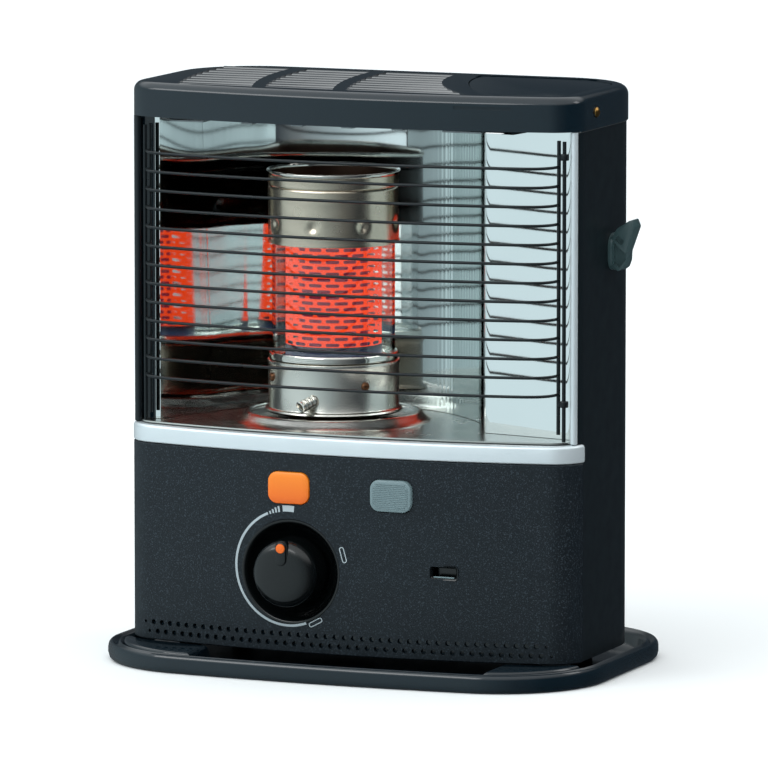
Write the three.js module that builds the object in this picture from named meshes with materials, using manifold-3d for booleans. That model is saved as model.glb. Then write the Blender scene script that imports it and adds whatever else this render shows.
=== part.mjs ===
// Portable radiant kerosene heater, in millimetres, +Z up, front facing -Y.
// The origin is on the floor under the middle of the drip tray.
import * as THREE from 'three';
import { mergeVertices } from 'three/addons/utils/BufferGeometryUtils.js';
import Module from 'manifold-3d';

const wasm = await Module();
wasm.setup();

// ---- driving dimensions -------------------------------------------------

const GAP = 0.3; // clearance between neighbouring pieces
const SHEET = 1.5; // sheet steel of the casing

const TRAY = { halfWidth: 215, rear: 148, rearRadius: 94, front: -148, bowRadius: 1500, cornerRadius: 92 };
const TRAY_TOP = 15;
const TRAY_FLOOR = 3;

const BODY = { halfWidth: 195, rear: 100, rearRadius: 67, front: -95, bowRadius: 800, cornerRadius: 27 };
const BODY_BOTTOM = 16.5;
const CASING_TOP = 445.5;
const COVER_BOTTOM = 446;
const COVER_TOP = 474;
const HEM_X = 190.5; // half width of the open front between the casing's hems
const HEM_Y = -61.5;
const HEM_RADIUS = 3.1;

const PANEL_TOP = 178.5;
const TRIM_BOTTOM = 179.2;
const TRIM_TOP = 193.6;
const DECK_TOP = 195.8;
const DECK_HOLE = 69;

const BURNER_X = -41.3;
const BURNER_Y = -4.7;
const DRUM_RADIUS = 53.5;
const DRUM_BOTTOM = 207;
const DRUM_TOP = 247;
const GLASS_RADIUS = 50.3;
const NET_RADIUS = 39.3;
const CHIMNEY_BOTTOM = 342;
const CHIMNEY_TOP = 402;
const ROUND = 36; // facets round the burner's drums

const WICK_RADIUS = 33.5; // middle of the wick's wall
const WICK_TOP = 212;
const PINION_RADIUS = 4;
const PINION_TEETH = 8;
const RACK_REAR = -36.4;

const KNOB_X = -41;
const KNOB_Z = 82.3;
const DISH_RADIUS = 43;
const BUTTON = { width: 36, height: 27, radius: 8 };
const IGNITION = { x: -42.5, z: 151 };
const SHUTOFF = { x: 46.5, z: 149 };
const GAUGE = { x: 90.6, z: 88.3, width: 23, height: 10 };

const WIRE_RADIUS = 1.2;
const WIRE_COUNT = 13;
const WIRE_TOP = 417.6;
const WIRE_PITCH = 15.28;
const GUARD_X = 178.5;
const GUARD_Y = -64.5;
const PIVOT_X = 183;
const PIVOT_Y = -64;

const TANK = { x0: 113, x1: 179, y0: -18, y1: 68, z0: 62, z1: 438, radius: 12 };
const LID_HINGE_Y = 78;
const LID_HINGE_Z = 469.4;
const LID_BACKSWING = 1.8; // the lid's rear corner moves back this far as it starts to open
const LID_EARS = [[66, 68.5], [141.5, 144]];
const SCREW_Z = 459;
const CELL_RADIUS = 16.5;
const FLOAT_Y = -50;
const FLOAT_Z = 69.4;

// ---- finishes -----------------------------------------------------------

const FINISHES = {
  blackEnamel: { color: 0x15181b, roughness: 0.28, metalness: 0.1 },
  blackTexture: { color: 0x24282b, roughness: 0.62, metalness: 0.05 },
  blackPlastic: { color: 0x1b1d1f, roughness: 0.45, metalness: 0 },
  chrome: { color: 0xdfe3e4, roughness: 0.06, metalness: 1 },
  silverTrim: { color: 0xc3c8cb, roughness: 0.3, metalness: 0.8 },
  stainless: { color: 0xbdb5a6, roughness: 0.2, metalness: 1 },
  galvanised: { color: 0x9aa0a3, roughness: 0.45, metalness: 0.9 },
  steelWire: { color: 0x33393c, roughness: 0.3, metalness: 0.8 },
  glass: { color: 0xe8f0f2, roughness: 0.05, metalness: 0 },
  glow: { color: 0xff4a22, roughness: 0.6, metalness: 0 },
  orange: { color: 0xf08a2c, roughness: 0.4, metalness: 0 },
  grey: { color: 0x8d959a, roughness: 0.45, metalness: 0 },
  cotton: { color: 0xd8d0bc, roughness: 0.95, metalness: 0 },
  rubber: { color: 0x1c1c1c, roughness: 0.85, metalness: 0 },
  brass: { color: 0xa98546, roughness: 0.35, metalness: 1 },
};

// ---- solids -------------------------------------------------------------

// A closed three.js geometry as a solid, with its faces turned outwards.
function solid(geometry) {
  const bare = geometry.clone();
  bare.deleteAttribute('normal');
  bare.deleteAttribute('uv');
  const merged = mergeVertices(bare, 1e-4);
  const vertices = merged.attributes.position;
  const triangles = [];
  const corner = [new THREE.Vector3(), new THREE.Vector3(), new THREE.Vector3()];
  let volume = 0;
  for (let i = 0; i < merged.index.count; i += 3) {
    const ids = [0, 1, 2].map((k) => merged.index.getX(i + k));
    if (ids[0] === ids[1] || ids[1] === ids[2] || ids[2] === ids[0]) continue;
    ids.forEach((id, k) => corner[k].fromBufferAttribute(vertices, id));
    volume += corner[0].dot(corner[1].clone().cross(corner[2]));
    triangles.push(...ids);
  }
  if (volume < 0) triangles.reverse();
  const vertProperties = new Float32Array(vertices.array);
  const triVerts = new Uint32Array(triangles);
  return new wasm.Manifold(new wasm.Mesh({ numProp: 3, vertProperties, triVerts }));
}

function geometryOf(body) {
  const mesh = body.getMesh();
  const geometry = new THREE.BufferGeometry();
  geometry.setAttribute('position', new THREE.BufferAttribute(new Float32Array(mesh.vertProperties), 3));
  geometry.setIndex(new THREE.BufferAttribute(new Uint32Array(mesh.triVerts), 1));
  const faceted = geometry.toNonIndexed();
  faceted.computeVertexNormals();
  return faceted;
}

const join = (...bodies) => bodies.reduce((whole, body) => whole.add(body));
const cut = (body, ...tools) => tools.reduce((rest, tool) => rest.subtract(tool), body);
const common = (a, b) => a.intersect(b);

// A box between two corners.
function box(x0, x1, y0, y1, z0, z1) {
  const geometry = new THREE.BoxGeometry(x1 - x0, y1 - y0, z1 - z0);
  geometry.translate((x0 + x1) / 2, (y0 + y1) / 2, (z0 + z1) / 2);
  return solid(geometry);
}

// An upright cylinder standing at x, y.
function post(x, y, z0, z1, radius, sides = 24) {
  const geometry = new THREE.CylinderGeometry(radius, radius, z1 - z0, sides);
  geometry.rotateX(Math.PI / 2);
  geometry.translate(x, y, (z0 + z1) / 2);
  return solid(geometry);
}

// A cylinder lying along Y.
function pinY(x, z, y0, y1, radius, sides = 20) {
  const geometry = new THREE.CylinderGeometry(radius, radius, y1 - y0, sides);
  geometry.translate(x, (y0 + y1) / 2, z);
  return solid(geometry);
}

// A cylinder lying along X.
function pinX(y, z, x0, x1, radius, sides = 16) {
  const geometry = new THREE.CylinderGeometry(radius, radius, x1 - x0, sides);
  geometry.rotateZ(Math.PI / 2);
  geometry.translate((x0 + x1) / 2, y, z);
  return solid(geometry);
}

// A closed [radius, z] profile turned about the upright axis at x, y.
function turned(profile, x, y, sides = 32) {
  const points = profile.map(([r, z]) => new THREE.Vector2(r, z));
  points.push(points[0].clone());
  const geometry = new THREE.LatheGeometry(points, sides);
  geometry.rotateX(Math.PI / 2);
  geometry.translate(x, y, 0);
  return solid(geometry);
}

// A closed [radius, y] profile turned about the axis along Y at x, z.
function turnedY(profile, x, z, sides = 32) {
  const points = profile.map(([r, y]) => new THREE.Vector2(r, y));
  points.push(points[0].clone());
  const geometry = new THREE.LatheGeometry(points, sides);
  geometry.translate(x, 0, z);
  return solid(geometry);
}

// A plan outline raised from z0 to z1.
function raised(points, z0, z1) {
  const shape = new THREE.Shape(points.map(([x, y]) => new THREE.Vector2(x, y)));
  const geometry = new THREE.ExtrudeGeometry(shape, { depth: z1 - z0, bevelEnabled: false });
  geometry.translate(0, 0, z0);
  return solid(geometry);
}

// An outline in X and Z carried through from y0 to y1.
function carriedY(points, y0, y1) {
  const shape = new THREE.Shape(points.map(([x, z]) => new THREE.Vector2(x, z)));
  const geometry = new THREE.ExtrudeGeometry(shape, { depth: y1 - y0, bevelEnabled: false });
  geometry.rotateX(Math.PI / 2);
  geometry.translate(0, y1, 0);
  return solid(geometry);
}

// A round bar along a list of points, straight or smoothed.
function bar(points, radius, { sides = 6, steps = 1, smooth = false } = {}) {
  const stations = points.map(([x, y, z]) => new THREE.Vector3(x, y, z));
  const curve = smooth ? new THREE.CatmullRomCurve3(stations) : new THREE.LineCurve3(stations[0], stations[1]);
  const section = [];
  for (let i = 0; i < sides; i += 1) {
    const turn = (2 * Math.PI * i) / sides;
    section.push(new THREE.Vector2(radius * Math.cos(turn), radius * Math.sin(turn)));
  }
  const shape = new THREE.Shape(section);
  return solid(new THREE.ExtrudeGeometry(shape, { extrudePath: curve, steps, bevelEnabled: false }));
}

// ---- outlines -----------------------------------------------------------

function arc(cx, cy, radius, from, to, steps) {
  const points = [];
  for (let i = 0; i <= steps; i += 1) {
    const turn = from + ((to - from) * i) / steps;
    points.push([cx + radius * Math.cos(turn), cy + radius * Math.sin(turn)]);
  }
  return points;
}

// The plan of the tray or the body: straight sides, round corners, a bowed front.
// Arcs share their centres at every inset, so two insets stay parallel.
function plan(shape, inset, cornerSteps = 6, bowSteps = 16) {
  const { halfWidth, rear, rearRadius, front, bowRadius, cornerRadius } = shape;
  const bowCentre = front + bowRadius;
  const cornerX = halfWidth - cornerRadius;
  const reach = bowRadius - cornerRadius;
  const cornerY = bowCentre - Math.sqrt(reach ** 2 - cornerX ** 2);
  const swing = Math.asin(cornerX / reach);
  const rearX = halfWidth - rearRadius;
  const rearY = rear - rearRadius;
  const down = 1.5 * Math.PI;
  const small = Math.max(cornerRadius - inset, 0.5);
  return [
    ...arc(rearX, rearY, rearRadius - inset, 0, Math.PI / 2, cornerSteps + 2),
    ...arc(-rearX, rearY, rearRadius - inset, Math.PI / 2, Math.PI, cornerSteps + 2),
    ...arc(-cornerX, cornerY, small, Math.PI, down - swing, cornerSteps),
    ...arc(0, bowCentre, bowRadius - inset, down - swing, down + swing, bowSteps).slice(1, -1),
    ...arc(cornerX, cornerY, small, down + swing, 2 * Math.PI, cornerSteps),
  ];
}

function roundedRectangle(cx, cz, width, height, radius, steps = 3) {
  const x = width / 2 - radius;
  const z = height / 2 - radius;
  return [
    ...arc(cx + x, cz - z, radius, -Math.PI / 2, 0, steps),
    ...arc(cx + x, cz + z, radius, 0, Math.PI / 2, steps),
    ...arc(cx - x, cz + z, radius, Math.PI / 2, Math.PI, steps),
    ...arc(cx - x, cz - z, radius, Math.PI, 1.5 * Math.PI, steps),
  ];
}

// A band of even thickness along an open plan line, as a closed outline.
function strip(points, thickness) {
  const near = [];
  const far = [];
  points.forEach((point, i) => {
    const before = points[Math.max(i - 1, 0)];
    const after = points[Math.min(i + 1, points.length - 1)];
    const length = Math.hypot(after[0] - before[0], after[1] - before[1]);
    const nx = -(after[1] - before[1]) / length;
    const ny = (after[0] - before[0]) / length;
    near.push(point);
    far.push([point[0] + nx * thickness, point[1] + ny * thickness]);
  });
  return [...near, ...far.reverse()];
}

function smoothLine(points, steps) {
  const curve = new THREE.CatmullRomCurve3(points.map(([x, y]) => new THREE.Vector3(x, y, 0)));
  return curve.getSpacedPoints(steps).map((p) => [p.x, p.y]);
}

// A ring standing along the plan between two insets.
function wall(shape, outer, inner, z0, z1) {
  return cut(raised(plan(shape, outer), z0, z1), raised(plan(shape, inner), z0 - 1, z1 + 1));
}

// The Y of the body's bowed front face at x, for a given inset.
function frontY(x, inset = 0) {
  const radius = BODY.bowRadius - inset;
  return BODY.front + BODY.bowRadius - Math.sqrt(radius ** 2 - x ** 2);
}

// ---- assembly -----------------------------------------------------------

const heater = new THREE.Group();

function part(name, body, finish) {
  const mesh = new THREE.Mesh(geometryOf(body), new THREE.MeshStandardMaterial(FINISHES[finish]));
  mesh.name = name;
  heater.add(mesh);
}

function addTray() {
  const rim = raised(plan(TRAY, 0), 0, TRAY_TOP);
  const well = raised(plan(TRAY, 11), TRAY_FLOOR, TRAY_TOP + 1);
  const groove = wall(TRAY, 3, 7.5, TRAY_TOP - 3, TRAY_TOP + 1);
  const seatPlan = raised(plan(TRAY, 12.5), TRAY_FLOOR - 1, TRAY_TOP + 1.5);
  const bodyRoom = raised(plan(BODY, -5.5), TRAY_FLOOR, TRAY_TOP + 3);
  const corners = join(
    box(-210, -122, -140, -62, 0, TRAY_TOP + 3),
    box(144, 210, -140, -62, 0, TRAY_TOP + 3),
  );
  const seats = cut(common(seatPlan, corners), bodyRoom);
  part('drip_tray', join(cut(rim, well, groove), seats), 'blackEnamel');
}

function addFeet() {
  for (const [end, y] of [['front', -50], ['rear', 62]]) {
    for (const [side, x] of [['left', -150], ['right', 150]]) {
      const foot = post(x, y, TRAY_FLOOR + GAP, BODY_BOTTOM - GAP, 9, 16);
      part(`foot_${end}_${side}`, foot, 'rubber');
    }
  }
}

function addCabinet() {
  const base = raised(plan(BODY, SHEET + GAP), BODY_BOTTOM, BODY_BOTTOM + 2);
  const airHole = post(BURNER_X, BURNER_Y, 0, 30, 34);
  part('base_plate', cut(base, airHole), 'galvanised');

  const shell = wall(BODY, 0, SHEET, BODY_BOTTOM, CASING_TOP);
  const openFront = box(-HEM_X, HEM_X, -120, -40, 0, CASING_TOP + 1);
  const batteryDoor = box(-124, -52, 90, 110, 91, 169);
  const rearSlots = [];
  for (let row = 0; row < 4; row += 1) {
    const z = 404 + row * 9;
    rearSlots.push(box(-100, -20, 90, 110, z, z + 3), box(20, 100, 90, 110, z, z + 3));
  }
  const tabs = [-1, 1].map((side) => {
    const inner = BODY.halfWidth - SHEET;
    const edges = [side * (inner - 1.6), side * (inner + 0.3)].sort((a, b) => a - b);
    return box(edges[0], edges[1], -38, -18, 425, 464.5);
  });
  const hems = [-1, 1].map((side) => post(side * HEM_X, HEM_Y, TRIM_TOP + GAP, CASING_TOP, HEM_RADIUS, 12));
  part('cabinet_casing', join(cut(shell, openFront, batteryDoor, ...rearSlots), ...tabs, ...hems), 'blackEnamel');
}

function addFrontPanel() {
  const skin = wall(BODY, -2.4, -0.5, BODY_BOTTOM, PANEL_TOP);
  const frontHalf = box(-198, 198, -110, -56, 0, 200);
  const holes = [pinY(KNOB_X, KNOB_Z, -105, -80, DISH_RADIUS + GAP, 48)];
  for (const { x, z } of [IGNITION, SHUTOFF]) {
    const { width, height, radius } = BUTTON;
    holes.push(carriedY(roundedRectangle(x, z, width + 1, height + 1, radius), -110, -80));
  }
  const { x, z, width, height } = GAUGE;
  holes.push(carriedY(roundedRectangle(x, z, width, height, 2), -110, -80));
  part('front_panel', cut(common(skin, frontHalf), join(...holes)), 'blackTexture');

  const band = wall(BODY, -2.6, -0.5, TRIM_BOTTOM, TRIM_TOP);
  const lip = wall(BODY, -2.6, 7, TRIM_TOP - 1.2, TRIM_TOP);
  const lipRoom = box(-HEM_X + 2, HEM_X - 2, -110, -50, 0, 300);
  const bandHalf = box(-198, 198, -110, -54, 0, 300);
  part('front_trim_band', join(common(band, bandHalf), common(lip, lipRoom)), 'silverTrim');

  const bezel = turnedY(
    [[0, -81], [0, -79.5], [DISH_RADIUS, -79.5], [DISH_RADIUS, -96.5], [DISH_RADIUS - 3, -96.5], [DISH_RADIUS - 9, -81]],
    KNOB_X,
    KNOB_Z,
    36,
  );
  part('knob_bezel', cut(bezel, pinY(KNOB_X, KNOB_Z, -90, -70, 4)), 'blackPlastic');

  const glazing = carriedY(roundedRectangle(x, z, width + 6, height + 6, 3), -88.2, -86.2);
  const sight = carriedY(roundedRectangle(x, z, width - 3, height - 3, 1), -89, -87.2);
  part('fuel_gauge_window', cut(glazing, sight), 'blackPlastic');
}

// Side edges of the louvre bays and the tank lid sweep to the left towards the rear.
function sweep(rearX, bend, y) {
  return rearX + bend * (88 - y) ** 2;
}

function sweptOutline(leftEdge, rightEdge, y0, y1) {
  const steps = 6;
  const right = [];
  const left = [];
  for (let i = 0; i <= steps; i += 1) {
    const y = y0 + ((y1 - y0) * i) / steps;
    right.push([rightEdge(y), y]);
    left.push([leftEdge(y), y]);
  }
  return [...right, ...left.reverse()];
}

const lidLeft = (inset) => (y) => sweep(55, 0.0026, y) + inset;
const lidRight = (inset) => (y) => 182 - 0.033 * Math.max(0, y - 45) ** 2 - inset;

function roundedCover(inset, z0, z1, round, bevelSegments) {
  const shape = new THREE.Shape(plan(BODY, inset + round).map(([x, y]) => new THREE.Vector2(x, y)));
  const options = { depth: z1 - z0, bevelThickness: round, bevelSize: round, bevelSegments };
  const geometry = new THREE.ExtrudeGeometry(shape, options);
  geometry.translate(0, 0, z0 - round);
  return cut(solid(geometry), box(-300, 300, -300, 300, z0 - 3 * round, z0));
}

// The lid's outline at an inset, kept parallel to the cover's rounded edge.
function lidShape(inset, edge, rear, z0, z1) {
  const swept = raised(sweptOutline(lidLeft(inset), lidRight(inset), -90, rear), z0, z1);
  return common(swept, raised(plan(BODY, edge + inset), z0 - 1, z1 + 1));
}

function addTopCover() {
  const outer = roundedCover(-1.4, COVER_BOTTOM, COVER_TOP, 8, 3);
  const inner = roundedCover(0.2, COVER_BOTTOM - 5, COVER_TOP - 1.6, 7, 1);
  const tools = [inner];
  const bays = [
    [(y) => sweep(-176, 0.00095, y), (y) => sweep(-112, 0.00115, y)],
    [(y) => sweep(-102, 0.00105, y), (y) => sweep(-40, 0.0011, y)],
    [(y) => sweep(-31, 0.00105, y), (y) => sweep(34, 0.0026, y)],
  ];
  const slatCount = 9;
  const slatPitch = 18;
  for (const [left, right] of bays) {
    for (let i = 0; i < slatCount; i += 1) {
      const y0 = -74 + i * slatPitch;
      const slot = [[left(y0) + 3, y0], [right(y0) - 3, y0], [right(y0 + 9) - 3, y0 + 9], [left(y0 + 9) + 3, y0 + 9]];
      tools.push(raised(slot, COVER_TOP - 5, COVER_TOP + 5));
    }
  }
  const hingeRoom = box(53, 158.5, LID_HINGE_Y - 8, LID_HINGE_Y + 4.7, COVER_TOP - 5, COVER_TOP + 5);
  const lidRoom = lidShape(0, 9.5, LID_HINGE_Y - 1, COVER_TOP - 5, COVER_TOP + 5);
  tools.push(lidRoom, lidRoom.translate([0, LID_BACKSWING, 0]), hingeRoom);
  tools.push(box(100, 142, -120, -80, 463, 467.5));
  const ears = LID_EARS.map(([x0, x1]) => {
    const ear = join(
      box(x0, x1, LID_HINGE_Y - 3.5, LID_HINGE_Y + 8, 465.2, 471.2),
      box(x0, x1, LID_HINGE_Y + 5.2, LID_HINGE_Y + 10, 466, COVER_TOP - 1),
    );
    return cut(ear, pinX(LID_HINGE_Y, LID_HINGE_Z, x0 - 1, x1 + 1, 1.3, 12));
  });
  const screwHoles = pinX(-28, SCREW_Z, -200, 200, 2.1, 10);
  part('top_cover', cut(join(cut(outer, ...tools), ...ears), screwHoles), 'blackEnamel');

  part('lid_hinge_pin', pinX(LID_HINGE_Y, LID_HINGE_Z, 65, 145, 1.2, 12), 'galvanised');
  const plate = lidShape(0.9, 9.5, LID_HINGE_Y - 1.6, COVER_TOP - 2.4, COVER_TOP - 0.2);
  const skirtOuter = lidShape(2.5, 9.5, LID_HINGE_Y - 6, COVER_TOP - 8, COVER_TOP - 2);
  const skirtInner = lidShape(4, 9.5, LID_HINGE_Y - 7.5, COVER_TOP - 9, COVER_TOP - 2.3);
  const earRoom = LID_EARS.map(([x0, x1]) => box(x0 - 0.8, x1 + 0.8, LID_HINGE_Y - 4.5, LID_HINGE_Y + 9, 460, 480));
  const knuckles = [[70, 82], [128, 140]].map(([x0, x1]) => {
    const barrel = pinX(LID_HINGE_Y, LID_HINGE_Z, x0, x1, 2.5, 14);
    const tongue = box(x0, x1, LID_HINGE_Y - 4, LID_HINGE_Y, LID_HINGE_Z + 0.8, COVER_TOP - 1.4);
    return cut(join(barrel, tongue), pinX(LID_HINGE_Y, LID_HINGE_Z, x0 - 1, x1 + 1, 1.3, 12));
  });
  part('tank_lid', cut(join(cut(join(plate, skirtOuter), skirtInner), ...knuckles), ...earRoom), 'blackEnamel');
}

// The burning chamber's mirror in plan, from its left front edge round the back to the right seam.
const MIRROR_LINE = smoothLine(
  [[-173, -57], [-154.6, -6.4], [-135.1, 32.8], [-111, 61.6], [-75.8, 79.2], [-38.4, 85.4], [-0.8, 79], [33, 62], [60, 38],
    [84, 8], [103, -35.6]],
  28,
);
const WING_SEAM_X = -150;

function addReflector() {
  const low = DECK_TOP + GAP;
  const high = 437;
  const whole = raised(strip([[-188.5, -57], ...MIRROR_LINE], 0.8), low, high);
  const side = (x0, x1) => common(whole, box(x0, x1, -100, 100, 0, 500));
  part('left_reflector_wing', side(-200, WING_SEAM_X - GAP), 'chrome');
  part('rear_reflector', side(WING_SEAM_X, 200), 'chrome');
  const rightWing = [[104.6, -36.4], [184, -50.6], [186.8, -53.6], [186.8, -58.5]];
  part('right_reflector_wing', raised(strip(rightWing, 0.8), low, high), 'chrome');
}

function addDeck() {
  const sheet = raised(plan(BODY, 3.2), DECK_TOP - 1.2, DECK_TOP);
  const burnerHole = post(BURNER_X, BURNER_Y, 190, 200, DECK_HOLE, 48);
  const tankHole = box(106.4, 200, -26.5, 120, 190, 200);
  const hemRoom = [-1, 1].map((side) => post(side * HEM_X, HEM_Y, 190, 450, HEM_RADIUS + GAP, 12));
  part('burner_deck', cut(sheet, burnerHole, tankHole, ...hemRoom), 'chrome');
  part('tank_partition', box(107, 108.2, -26, 86, 150, 436), 'galvanised');

  const guard = raised(plan(BODY, SHEET + 1), 439.5, 440.7);
  const slots = [];
  for (let i = 0; i < 5; i += 1) slots.push(box(-140 + i * 44, -106 + i * 44, -60, 60, 430, 450));
  const tankShaft = raised(sweptOutline(() => 104, () => 200, -80, 110), 430, 450);
  const tabRoom = [-1, 1].map((side) => {
    const edges = [side * 185, side * 200].sort((a, b) => a - b);
    return box(edges[0], edges[1], -45, -10, 430, 450);
  });
  const frontRoom = box(-200, 200, -120, -45, 430, 450);
  part('heat_guard_plate', cut(guard, ...slots, tankShaft, ...tabRoom, frontRoom), 'galvanised');
}

function addBurner() {
  const r = DRUM_RADIUS;
  const drum = turned(
    [[r - 1.5, DRUM_BOTTOM + 2], [r - 1.5, DRUM_TOP - 2], [44, DRUM_TOP - 2], [44, DRUM_TOP - 0.5], [r, DRUM_TOP - 0.5],
      [r, DRUM_BOTTOM + 3.5], [r + 2.5, DRUM_BOTTOM + 2.5], [r + 2.5, DRUM_BOTTOM], [40, DRUM_BOTTOM], [40, DRUM_BOTTOM + 2]],
    BURNER_X, BURNER_Y, ROUND,
  );
  const knobX = BURNER_X - 3;
  const knobZ = 213.5;
  const knobRoom = pinY(knobX, knobZ, BURNER_Y - r - 17, BURNER_Y - r + 0.1, 5, 12);
  part('burner_base_drum', cut(drum, knobRoom), 'stainless');
  const holder = turned(
    [[43, DRUM_TOP], [43, DRUM_TOP + 1.5], [51.6, DRUM_TOP + 1.5], [51.6, DRUM_TOP + 6], [52.8, DRUM_TOP + 6], [52.8, DRUM_TOP]],
    BURNER_X, BURNER_Y, ROUND,
  );
  part('glass_holder_ring', holder, 'chrome');
  const ring = (inner, outer, z0, z1, sides = ROUND) => (
    turned([[inner, z0], [inner, z1], [outer, z1], [outer, z0]], BURNER_X, BURNER_Y, sides)
  );
  part('outer_glass', ring(GLASS_RADIUS - 2, GLASS_RADIUS, DRUM_TOP + 1.8, CHIMNEY_BOTTOM + 5), 'glass');
  part('glowing_net', ring(NET_RADIUS - 0.8, NET_RADIUS, DRUM_TOP + 1.8, CHIMNEY_BOTTOM + 5), 'glow');
  part('inner_flame_cylinder', ring(27.2, 28, DRUM_BOTTOM + 10, CHIMNEY_BOTTOM + 20, 32), 'glow');
  const spreader = turned(
    [[0, CHIMNEY_BOTTOM + 20.5], [0, CHIMNEY_BOTTOM + 22], [29, CHIMNEY_BOTTOM + 22], [29, CHIMNEY_BOTTOM + 20.5]],
    BURNER_X, BURNER_Y, 32,
  );
  part('flame_spreader_disc', spreader, 'stainless');
  const c = CHIMNEY_BOTTOM;
  const chimney = turned(
    [[r - 1.5, c + 7], [r - 1.5, CHIMNEY_TOP - 1], [r + 0.8, CHIMNEY_TOP], [r + 0.8, CHIMNEY_TOP - 3], [r, CHIMNEY_TOP - 4],
      [r, c], [r - 1.2, c], [r - 1.5, c + 5.4], [37, c + 5.4], [37, c + 7]],
    BURNER_X, BURNER_Y, ROUND,
  );
  part('upper_chimney_cylinder', chimney, 'stainless');
  part('chimney_knob', pinY(knobX, knobZ, BURNER_Y - r - 17, BURNER_Y - r - 0.2, 4.6, 12), 'stainless');
}

function gearOutline(cx, cz, radius, teeth) {
  const points = [];
  for (let i = 0; i < teeth; i += 1) {
    const middle = ((i + 0.5) * 2 * Math.PI) / teeth;
    for (const [turn, r] of [[-0.2, radius - 1], [-0.1, radius + 0.8], [0.1, radius + 0.8], [0.2, radius - 1]]) {
      points.push([cx + r * Math.cos(middle + turn), cz + r * Math.sin(middle + turn)]);
    }
  }
  return points;
}

function addWickDrive() {
  const outer = WICK_RADIUS + 4;
  const seat = DRUM_BOTTOM - GAP;
  const tube = turned(
    [[outer - 1.2, 60.6], [outer - 1.2, seat], [52, seat], [52, seat - 1.4], [outer, seat - 1.4], [outer, 61.8],
      [48, 61.8], [48, 60.6]],
    BURNER_X, BURNER_Y, 28,
  );
  const rackSlot = box(KNOB_X - 14, KNOB_X + 3, BURNER_Y - 45, BURNER_Y - 25, 62.5, 121);
  part('wick_outer_tube', cut(tube, rackSlot), 'brass');

  const sleeve = turned(
    [[WICK_RADIUS - 2, 41], [WICK_RADIUS - 2, WICK_TOP], [WICK_RADIUS + 2, WICK_TOP], [WICK_RADIUS + 2, 41]],
    BURNER_X, BURNER_Y, 28,
  );
  part('wick', cut(sleeve, box(KNOB_X - 11, KNOB_X - 2, BURNER_Y - 45, BURNER_Y - 25, 70, 122)), 'cotton');

  const pitch = (2 * Math.PI * PINION_RADIUS) / PINION_TEETH;
  const rackX = KNOB_X - PINION_RADIUS;
  const teeth = [];
  for (let i = -1; i <= 9; i += 1) {
    const z = KNOB_Z + i * pitch;
    const tooth = [[rackX + 0.8, z - 0.3], [rackX - 1.2, z - 0.6], [rackX - 1.2, z + 0.6], [rackX + 0.8, z + 0.3]];
    teeth.push(carriedY(tooth, -48, RACK_REAR));
  }
  const spine = box(rackX - 3.5, rackX - 1, -48, RACK_REAR, 79, 118);
  part('wick_rack', join(spine, ...teeth), 'brass');

  const shaft = pinY(KNOB_X, KNOB_Z, -92, -44, 2.4, 12);
  const pinion = carriedY(gearOutline(KNOB_X, KNOB_Z, PINION_RADIUS, PINION_TEETH), -48, -43);
  part('wick_shaft', join(shaft, pinion), 'galvanised');

  const dome = turnedY(
    [[0, -116.5], [17, -116.5], [21.5, -114.5], [24, -111], [25, -96], [27, -90], [27, -84], [4, -84], [4, -92.5], [0, -92.5]],
    KNOB_X, KNOB_Z, 28,
  );
  const tab = box(KNOB_X - 4.5, KNOB_X + 4.5, -118.2, -96, KNOB_Z + 2, KNOB_Z + 27);
  const bore = pinY(KNOB_X, KNOB_Z, -92.4, -80, 2.8, 16);
  part('wick_knob', cut(join(dome, tab), bore), 'blackPlastic');
  part('knob_pointer_dot', pinY(KNOB_X, KNOB_Z + 22, -119.6, -118.5, 3.9, 20), 'orange');
}

function addButtons() {
  const { width, height, radius } = BUTTON;
  for (const [name, place, finish] of [['ignition', IGNITION, 'orange'], ['shutoff', SHUTOFF, 'grey']]) {
    const face = frontY(place.x) - 5;
    const cap = carriedY(roundedRectangle(place.x, place.z, width, height, radius), face, face + 12);
    const hollow = carriedY(roundedRectangle(place.x, place.z, width - 4, height - 4, radius - 2), face + 2, face + 13);
    const stem = box(place.x - 4, place.x + 4, face + 1, face + 20, place.z - 3, place.z + 3);
    part(`${name}_button`, join(cut(cap, hollow), stem), finish);
  }
  const backOfStem = frontY(IGNITION.x) + 15;
  const rod = join(
    box(IGNITION.x - 3, IGNITION.x + 3, backOfStem + GAP, -67, IGNITION.z - 2, IGNITION.z + 2),
    box(IGNITION.x - 30, IGNITION.x + 3, -70, -66, IGNITION.z - 3, IGNITION.z + 3),
    box(IGNITION.x - 30, IGNITION.x - 24, -70, -66, IGNITION.z - 3, 190),
  );
  part('ignition_lever', rod, 'galvanised');
  const plug = join(pinY(IGNITION.x - 27, 186, -65.7, -50, 3, 12), pinY(IGNITION.x - 27, 186, -50.5, -46, 1.2, 10));
  part('igniter_plug', plug, 'brass');
  const shutBack = frontY(SHUTOFF.x) + 15;
  const release = join(
    box(SHUTOFF.x - 3, SHUTOFF.x + 3, shutBack + GAP, -62, SHUTOFF.z - 2, SHUTOFF.z + 2),
    box(SHUTOFF.x - 3, SHUTOFF.x + 3, -65, -62, SHUTOFF.z - 22, SHUTOFF.z + 2),
  );
  part('shutoff_lever', release, 'galvanised');
}

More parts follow.
